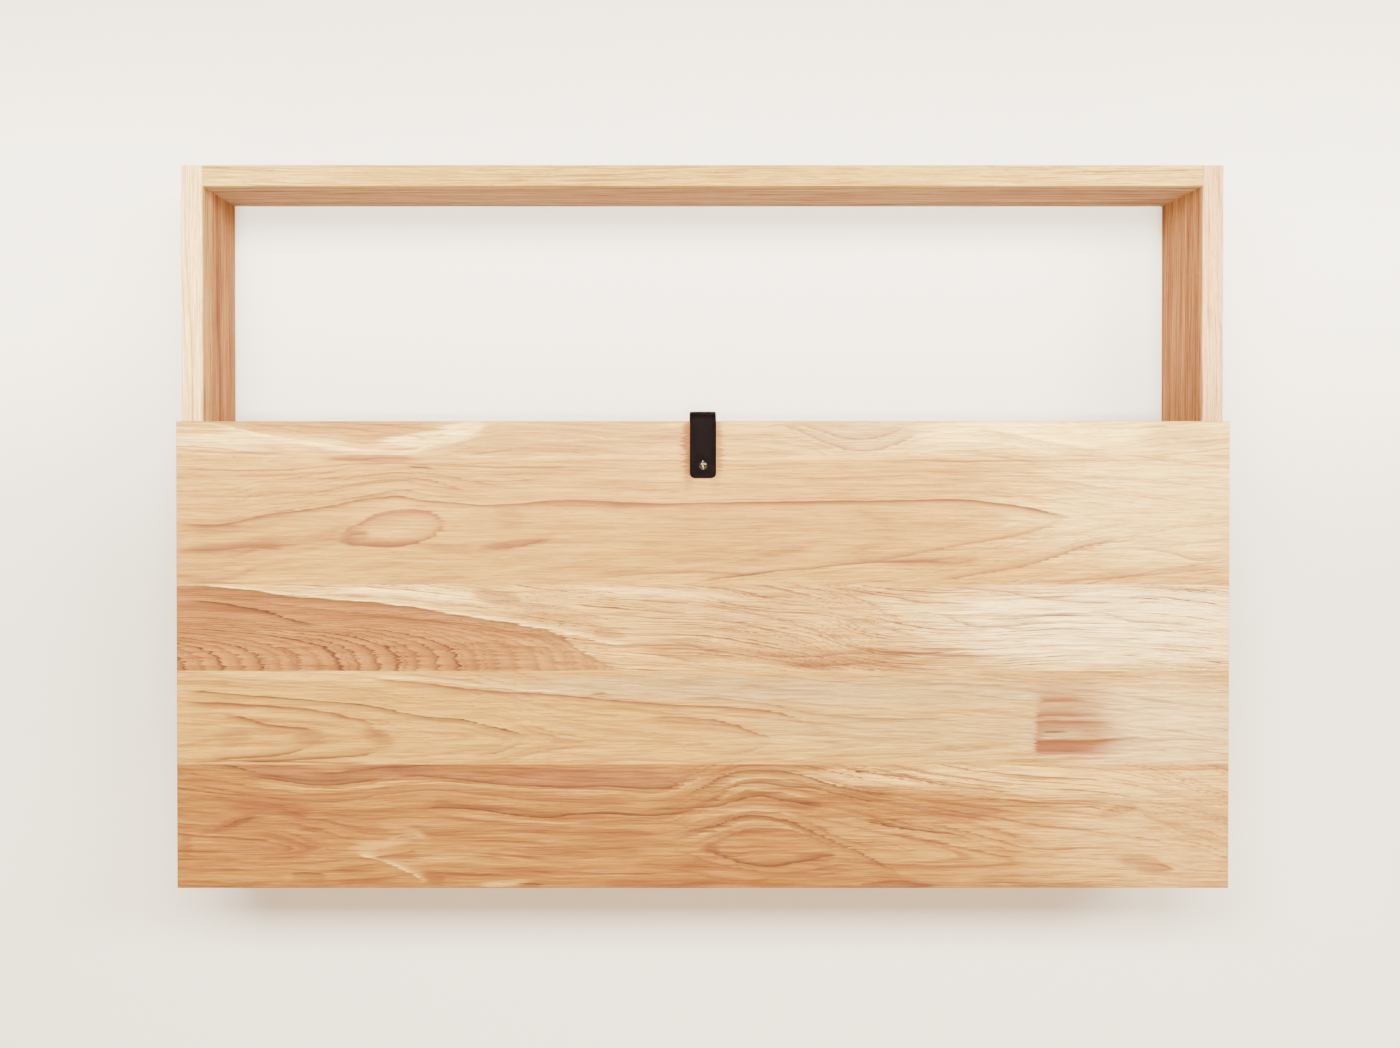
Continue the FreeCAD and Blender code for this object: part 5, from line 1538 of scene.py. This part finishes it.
@dataclass
class LeatherPull:
    """The strap folded over the flap's top edge and its slotted screw."""

    width_mm: float = 25.0
    thickness_mm: float = 2.5
    front_mm: float = -156.5
    back_mm: float = -131.5
    top_mm: float = 83.5
    bottom_mm: float = 20.0
    bend_mm: float = 9.25
    corner_mm: float = 4.5
    edge_mm: float = 0.8
    swell_mm: float = 0.10
    screw_mm: float = 32.5
    dent_mm: float = 0.32
    dent_radius_mm: float = 6.2
    screw_sunk_mm: float = 0.25
    wave_mm: float = 0.025

    def path(self) -> tuple[np.ndarray, np.ndarray, np.ndarray]:
        """Follow the outer face up the front, over the top and down the back.

        The path is two straight legs, two quarter circles and a short flat
        between them, sampled evenly along each.

        Returns:
            Depth and height of the points and the angle of the outward way.
        """
        leg_points, turn_points, flat_points = 66, 15, 7
        centre = self.top_mm - self.bend_mm
        leg = np.linspace(self.bottom_mm, centre, leg_points)
        turn = np.linspace(0, math.pi / 2, turn_points)[1:]
        flat = np.linspace(self.front_mm + self.bend_mm, self.back_mm - self.bend_mm,
                           flat_points)[1:]
        depth = np.concatenate((
            np.full(leg.size, self.front_mm),
            self.front_mm + self.bend_mm * (1 - np.cos(turn)),
            flat,
            self.back_mm - self.bend_mm * (1 - np.sin(turn)),
            np.full(leg.size - 1, self.back_mm),
        ))
        height = np.concatenate((
            leg, centre + self.bend_mm * np.sin(turn), np.full(flat.size, self.top_mm),
            centre + self.bend_mm * np.cos(turn), leg[::-1][1:],
        ))
        angle = np.concatenate((
            np.zeros(leg.size), turn, np.full(flat.size, math.pi / 2),
            math.pi / 2 + turn, np.full(leg.size - 1, math.pi),
        ))
        return depth, height, angle

    def section(self) -> tuple[np.ndarray, np.ndarray, np.ndarray, np.ndarray]:
        """Go once round the strap's section.

        It is a flat oblong whose outer face swells a little in the middle
        and whose edges are rounded: out along the outer face, round one
        edge, back along the inner face and round the other edge.

        Returns:
            Place across and outwards in millimetres, the burnish, and 1 for
            each point of the outer face and 0 for the others.
        """
        face_points, edge_points, crowding = 27, 9, 0.8
        lift = np.linspace(-1, 1, face_points)
        lift = np.sign(lift) * np.abs(lift) ** crowding
        turn = np.linspace(math.pi / 2, -math.pi / 2, edge_points)[1:-1]
        flat = lift * (self.width_mm / 2 - self.edge_mm)
        edge = self.width_mm / 2 - self.edge_mm * (1 - np.cos(turn))
        across = np.concatenate((flat, edge, flat[::-1], -edge))
        round_out = (np.sin(turn) - 1) * self.thickness_mm / 2
        out = np.concatenate((-self.swell_mm * lift ** 4, round_out - self.swell_mm,
                              np.full(lift.size, -self.thickness_mm),
                              -self.thickness_mm - round_out))
        burnished_from, burnish_share = 0.93, 0.6
        near_edge = burnish_share * np.clip((np.abs(lift) - burnished_from)
                                            / (1 - burnished_from), 0, 1)
        burnish = np.concatenate((near_edge, np.ones(turn.size)) * 2)
        outer = np.where(np.arange(out.size) < lift.size, 1.0, 0.0)
        return across, out, burnish, outer

    def make(self) -> bpy.types.Object:
        """Carry the strap's section along its path.

        Near the two ends the section narrows as a quarter circle to make
        the corners. Around the screw the outer face is pressed in as the
        exponential of minus the squared distance, and a slight wave runs
        along it.

        Returns:
            The strap.
        """
        depth, height, angle = (part[:, None] for part in self.path())
        across, out, burnish, outer = (part[None, :] for part in self.section())
        steps = np.hypot(np.diff(depth, axis=0), np.diff(height, axis=0))
        along = np.concatenate((np.zeros((1, 1)), np.cumsum(steps, axis=0)))
        from_end = np.minimum(along, along[-1] - along)
        cut = np.clip(self.corner_mm - from_end, 0, self.corner_mm)
        half = self.width_mm / 2 - self.corner_mm + np.sqrt(self.corner_mm ** 2 - cut ** 2)
        across = across * half / (self.width_mm / 2)
        from_screw = np.hypot(across, height - self.screw_mm)
        on_leg = (angle == 0) | (angle == math.pi)
        dent = np.where(on_leg, np.exp(-(from_screw / self.dent_radius_mm) ** 2), 0.0) * outer
        wave = self.wave_mm * (np.sin(across * 0.9 + along * 0.31) * outer - 1)
        out = out - dent * self.dent_mm + wave
        out = np.where(outer > 0, np.minimum(out, 0.0), out)
        points = np.stack((across, depth - np.cos(angle) * out, height + np.sin(angle) * out),
                          axis=2) * MM
        rows, columns = across.shape
        caps = [list(range(columns))[::-1], list(range((rows - 1) * columns, rows * columns))]
        piece = mesh_piece("leather_strap", points,
                           grid_faces(rows, columns, round_columns=True) + caps)
        # The crown mark makes the top of the fold lighter: wear, and a painted highlight
        crown_wear_and_highlight = np.clip((height - (self.top_mm - self.bend_mm)) / self.bend_mm, 0, 1) ** 2
        marks = {"burnish": np.maximum(burnish, np.exp(-from_end / 0.6)),
                 "crown_wear_and_highlight": np.repeat(crown_wear_and_highlight, columns, 1), "dent": dent}
        for name, values in marks.items():
            attribute = piece.data.attributes.new(name, "FLOAT", "POINT")
            attribute.data.foreach_set("value", values.astype(np.float32).ravel())
        close_up(piece, smooth_angle=50.0)
        return piece

    def dress(self) -> None:
        """Build the strap and its screw and give them their finishes."""
        strap = self.make()
        Leather().put_on(strap)
        attach(strap, "flap", "pull_leather", "leather_pull")
        head = SlottedHead(radius_mm=4.4, height_mm=2.2, rim_mm=0.6, slot_width_mm=2.1,
                           slot_depth_mm=1.9, columns=41, rows=31)
        centre = (0.0, self.front_mm + self.screw_sunk_mm, self.screw_mm)
        screw = mesh_piece("strap_screw", *head.standing(centre, (0.0, -1.0, 0.0), turn=3.0))
        close_up(screw)
        Metal("strap screw metal", bright=(0.08, 0.066, 0.053), dull=(0.028, 0.021, 0.016),
              roughness=0.18, brushed=0.06).put_on(screw)
        attach(screw, "flap", "steel", "pull_screw")


@dataclass
class Fixings:
    """The wood screws whose heads show on the fittings."""

    leaf_spread_mm: float = 20.0
    leaf_mm: float = 1.3
    hinge_place_mm: float = 330.0
    axis_depth_mm: float = -130.7
    axis_height_mm: float = -343.3
    setback_mm: float = 13.0
    foot_across_mm: float = 462.0
    foot_depth_mm: float = -132.0
    foot_heights_mm: Point = (-228.3, -248.3)
    bar_depth_mm: float = -7.8
    bar_height_mm: float = 34.4
    bar_places_mm: Triple = (-300, 0, 300)
    under_turns: tuple[float, ...] = (-23, 57, 38, 118)
    behind_turns: tuple[float, ...] = (74, 74, 109, 39)

    def heads(self, name: str, body: str, slot: str, spots: list, outward: Triple,
              radius_mm: float = 3.1) -> bpy.types.Object:
        """Make one piece of several screw heads that look the same way.

        Args:
            name: the piece's name.
            body: what it rides on.
            slot: a slot name, which is handed on to attach.
            spots: centre and slot turn of each head, in millimetres and degrees.
            outward: the way the heads look.
            radius_mm: the heads' radius.

        Returns:
            The piece.
        """
        head = SlottedHead(radius_mm, height_mm=1.1, rim_mm=0.3, slot_width_mm=0.8,
                           slot_depth_mm=0.8, columns=21, rows=15)
        points, faces, count = [], [], 0
        for centre, turn in spots:
            some, these = head.standing(centre, outward, turn)
            points.append(some)
            faces.extend([[corner + count for corner in face] for face in these])
            count += len(some)
        piece = mesh_piece(name, np.concatenate(points), faces)
        close_up(piece)
        attach(piece, body, slot)
        return piece

    def dress(self, brass: Finish, steel: Finish) -> None:
        """Build the heads on the hinges, the stays and the hanging bar.

        Args:
            brass: the finish of the hinges' and stays' screws.
            steel: the finish of the bar's screws.
        """
        backward, downward = (0.0, 1.0, 0.0), (0.0, 0.0, -1.0)
        across = [place + step for place in (-self.hinge_place_mm, self.hinge_place_mm)
                  for step in (-self.leaf_spread_mm, self.leaf_spread_mm)]
        depth, height = self.axis_depth_mm, self.axis_height_mm
        under = [((place, depth + self.setback_mm, height + self.leaf_mm), turn)
                 for place, turn in zip(across, self.under_turns)]
        behind = [((place, depth - self.leaf_mm, height - self.setback_mm), turn)
                  for place, turn in zip(across, self.behind_turns)]
        feet = [((sign * self.foot_across_mm, self.foot_depth_mm, level), 25 + 50 * sign + level)
                for sign in (-1, 1) for level in self.foot_heights_mm]
        bar = [((place, self.bar_depth_mm, self.bar_height_mm), 12 + place / 9)
               for place in self.bar_places_mm]
        brass.put_on(self.heads("carcass_leaf_screws", "carcass", "brass", under, downward),
                     self.heads("flap_leaf_screws", "flap", "brass", behind, backward),
                     self.heads("stay_foot_screws", "flap", "brass", feet, backward))
        steel.put_on(self.heads("hanging_bar_screws", "carcass", "steel", bar, backward,
                                radius_mm=3.6))


# The room

@dataclass(frozen=True)
class SoftBox:
    """One rectangular light, in metres, watts and degrees."""

    name: str
    place: Triple
    aim: Triple
    size: Point
    power: float
    spread: float = 180.0
    colour: Colour = (1.0, 0.93, 0.82)

    def hang(self) -> None:
        """Hang the light and turn it to its aim."""
        data = bpy.data.lights.new(self.name, "AREA")
        data.shape = "RECTANGLE"
        data.size, data.size_y = self.size
        data.spread = math.radians(self.spread)
        data.energy = self.power
        data.color = self.colour
        lamp = bpy.data.objects.new(self.name, data)
        across, depth, height = np.subtract(self.aim, self.place)
        lamp.location = self.place
        lamp.rotation_euler = (math.pi / 2 + math.atan2(height, math.hypot(across, depth)), 0.0,
                               math.atan2(-across, depth))
        bpy.context.scene.collection.objects.link(lamp)


@dataclass
class Room:
    """A plain pale wall and floor, and soft studio light."""

    wall_mm: float = 1.0
    floor_mm: float = -1150.0
    reach_m: float = 6.0
    wall_colour: Colour = (0.72, 0.705, 0.65)
    floor_colour: Colour = (0.78, 0.66, 0.52)
    sky_colour: Colour = (1.0, 0.80, 0.60)
    sky_strength: float = 0.80
    sun_strength: float = 3.0
    sun_breadth: float = 0.5
    sun_rise: float = 0.35
    boxes: tuple[SoftBox, ...] = (
        SoftBox("key", (-0.25, -2.6, 0.92), (0.0, 0.0, -0.05), (2.2, 0.7), 280.0),
        SoftBox("fill", (1.8, -2.4, 0.8), (0.0, 0.0, 0.0), (1.2, 0.5), 130.0),
        SoftBox("low strip", (0.0, -2.4, -0.05), (0.0, 0.0, 0.26), (2.6, 0.2), 9.0, spread=16.0),
    )

    def plane(self, name: str, points: list[Triple], colour: Colour) -> bpy.types.Object:
        """Make one big plane that can't be seen from behind.

        Args:
            name: the plane's name.
            points: its four corners, in metres.
            colour: its colour.

        Returns:
            The plane.
        """
        piece = mesh_piece(name, np.array(points), [[0, 1, 2, 3]])
        Plaster(name, colour).put_on(piece)
        return piece

    def build(self) -> None:
        """Build the wall, the floor, the lights and the pale surroundings."""
        far, wall, floor = self.reach_m, self.wall_mm * MM, self.floor_mm * MM
        left, right = (-far, wall, floor), (far, wall, floor)
        back = self.plane("back_wall", [left, right, (far, wall, far), (-far, wall, far)],
                          self.wall_colour)
        back.visible_shadow = False
        self.plane("pale_floor", [(-far, -far, floor), (far, -far, floor), right, left],
                   self.floor_colour)
        for box in self.boxes:
            box.hang()
        sun = bpy.data.lights.new("behind", "SUN")
        sun.energy = self.sun_strength
        sun.angle = self.sun_breadth
        lamp = bpy.data.objects.new("behind", sun)
        lamp.rotation_euler = (-math.pi / 2 + self.sun_rise, 0.0, 0.0)
        bpy.context.scene.collection.objects.link(lamp)
        world = bpy.data.worlds.new("pale surroundings")
        world.use_nodes = True
        ground = world.node_tree.nodes["Background"]
        ground.inputs["Color"].default_value = (*self.sky_colour, 1.0)
        ground.inputs["Strength"].default_value = self.sky_strength
        bpy.context.scene.world = world


@dataclass(frozen=True)
class Viewpoint:
    """Where the photographer stood."""

    place: Triple = (-0.0495, -1.8042, 0.0350)
    pitch_down: float = 0.01127
    lens_mm: float = 44.73
    sensor_mm: float = 36.0
    shift_across: float = 0.03516
    shift_up: float = -0.03001

    def build(self) -> None:
        """Set the camera up at the photograph's place."""
        data = bpy.data.cameras.new("viewpoint")
        data.lens = self.lens_mm
        data.sensor_width = self.sensor_mm
        data.shift_x = self.shift_across
        data.shift_y = self.shift_up
        camera = bpy.data.objects.new("viewpoint", data)
        camera.location = self.place
        camera.rotation_euler = (math.pi / 2 - self.pitch_down, 0.0, 0.0)
        bpy.context.scene.collection.objects.link(camera)
        bpy.context.scene.camera = camera


# The desk

def finish_nodes(finishes: dict[str, Finish]) -> None:
    """Put a finish on each of some CAD nodes.

    Args:
        finishes: the finish of each node by name.
    """
    for node, finish in finishes.items():
        finish.put_on(frame["nodes"][node])
        log.info("%s is finished as %s", node, finish.name)


@dataclass
class FallFront:
    """The five glued staves of the flap."""

    def dress(self) -> None:
        """Finish the staves."""
        finish_nodes({"top_stave_board": TOP_STAVE, "second_stave_board": SECOND_STAVE,
                      "third_stave_board": THIRD_STAVE, "fourth_stave_board": FOURTH_STAVE,
                      "bottom_stave_board": BOTTOM_STAVE})


@dataclass
class Carcass:
    """The boards that hang on the wall, the letter shelf and the thin back."""

    def dress(self) -> None:
        """Finish every board of the carcass."""
        standing = Grain.STANDING
        finish_nodes({
            "top_board": CarcassBoard(
                "top board", shift=2.4, pale=(0.44, 0.29, 0.15), deep=(0.25, 0.125, 0.082),
                tints=(front_tint((0.48, 0.33, 0.083), 0.92, 14),
                       Tint(-60, -137, 330, 10, (0.37, 0.225, 0.046), 0.6))),
            "middle_shelf": CarcassBoard("middle shelf", shift=6.1),
            "bottom_board": CarcassBoard("bottom board", shift=11.7),
            "left_side": CarcassBoard(
                "left side", grain=standing, shift=4.4,
                tints=(front_tint((0.80, 0.57, 0.24)),
                       Tint(0, -112, 4000, 18, (0.60, 0.36, 0.13), 0.8))),
            "right_side": CarcassBoard(
                "right side", grain=standing, shift=8.9, pale=(0.54, 0.29, 0.11),
                deep=(0.26, 0.098, 0.056), tints=(front_tint((0.56, 0.36, 0.165)),)),
            "mounting_rail": CarcassBoard(
                "rail", grain=Grain.ALONG_DESK_UPRIGHT, shift=13.3,
                upper=((-500, 10), (0, 26), (500, 4)), tints=()),
            "letter_shelf": CarcassBoard("letter shelf", shift=15.8),
            "left_divider": CarcassBoard("left divider", grain=standing, shift=18.1),
            "right_divider": CarcassBoard("right divider", grain=standing, shift=21.6),
            "left_loose_tongues": CarcassBoard("left tongues", shift=25.0),
            "right_loose_tongues": CarcassBoard("right tongues", shift=27.0),
            "back_panel": Plywood(),
        })


@dataclass
class Fittings:
    """Hinges, stays, guides, magnets, pads and the two bars."""

    def dress(self) -> None:
        """Finish every fitting and add the screws that hold them."""
        nodes = frame["nodes"]
        brass = Metal("satin brass", paint(214, 178, 110), paint(164, 124, 66), 0.36, 0.14)
        steel = Metal("satin steel", paint(190, 190, 190), paint(128, 126, 124))
        bars = Metal("brushed aluminium", paint(214, 215, 217), paint(176, 178, 181), 0.38, 0.22)
        nickel = Metal("bright nickel", paint(218, 214, 206), paint(176, 170, 160), 0.16, 0.05)
        brass.put_on(*(piece for name, piece in nodes.items()
                       if "hinge" in name or "stay" in name or "stop_pin" in name))
        steel.put_on(nodes["pull_barrel_nut"], nodes["magnet_strikes"], nodes["pull_screw"])
        bars.put_on(nodes["wall_bar"], nodes["hanging_bar"])
        nickel.put_on(nodes["flap_magnets"])
        Rubber().put_on(nodes["bumper_pads"])
        Fixings().dress(brass, steel)


def main() -> None:
    """Build the shared effects, then the desk from the front to the wall."""
    logging.basicConfig(level=logging.INFO, format="%(name)s: %(message)s")
    for build in (build_patch, build_rings, build_stroke, build_fibre, build_wear):
        build()
    Room().build()
    Viewpoint().build()
    FallFront().dress()
    LeatherPull().dress()
    Carcass().dress()
    Fittings().dress()


if __name__ == "__main__":
    main()
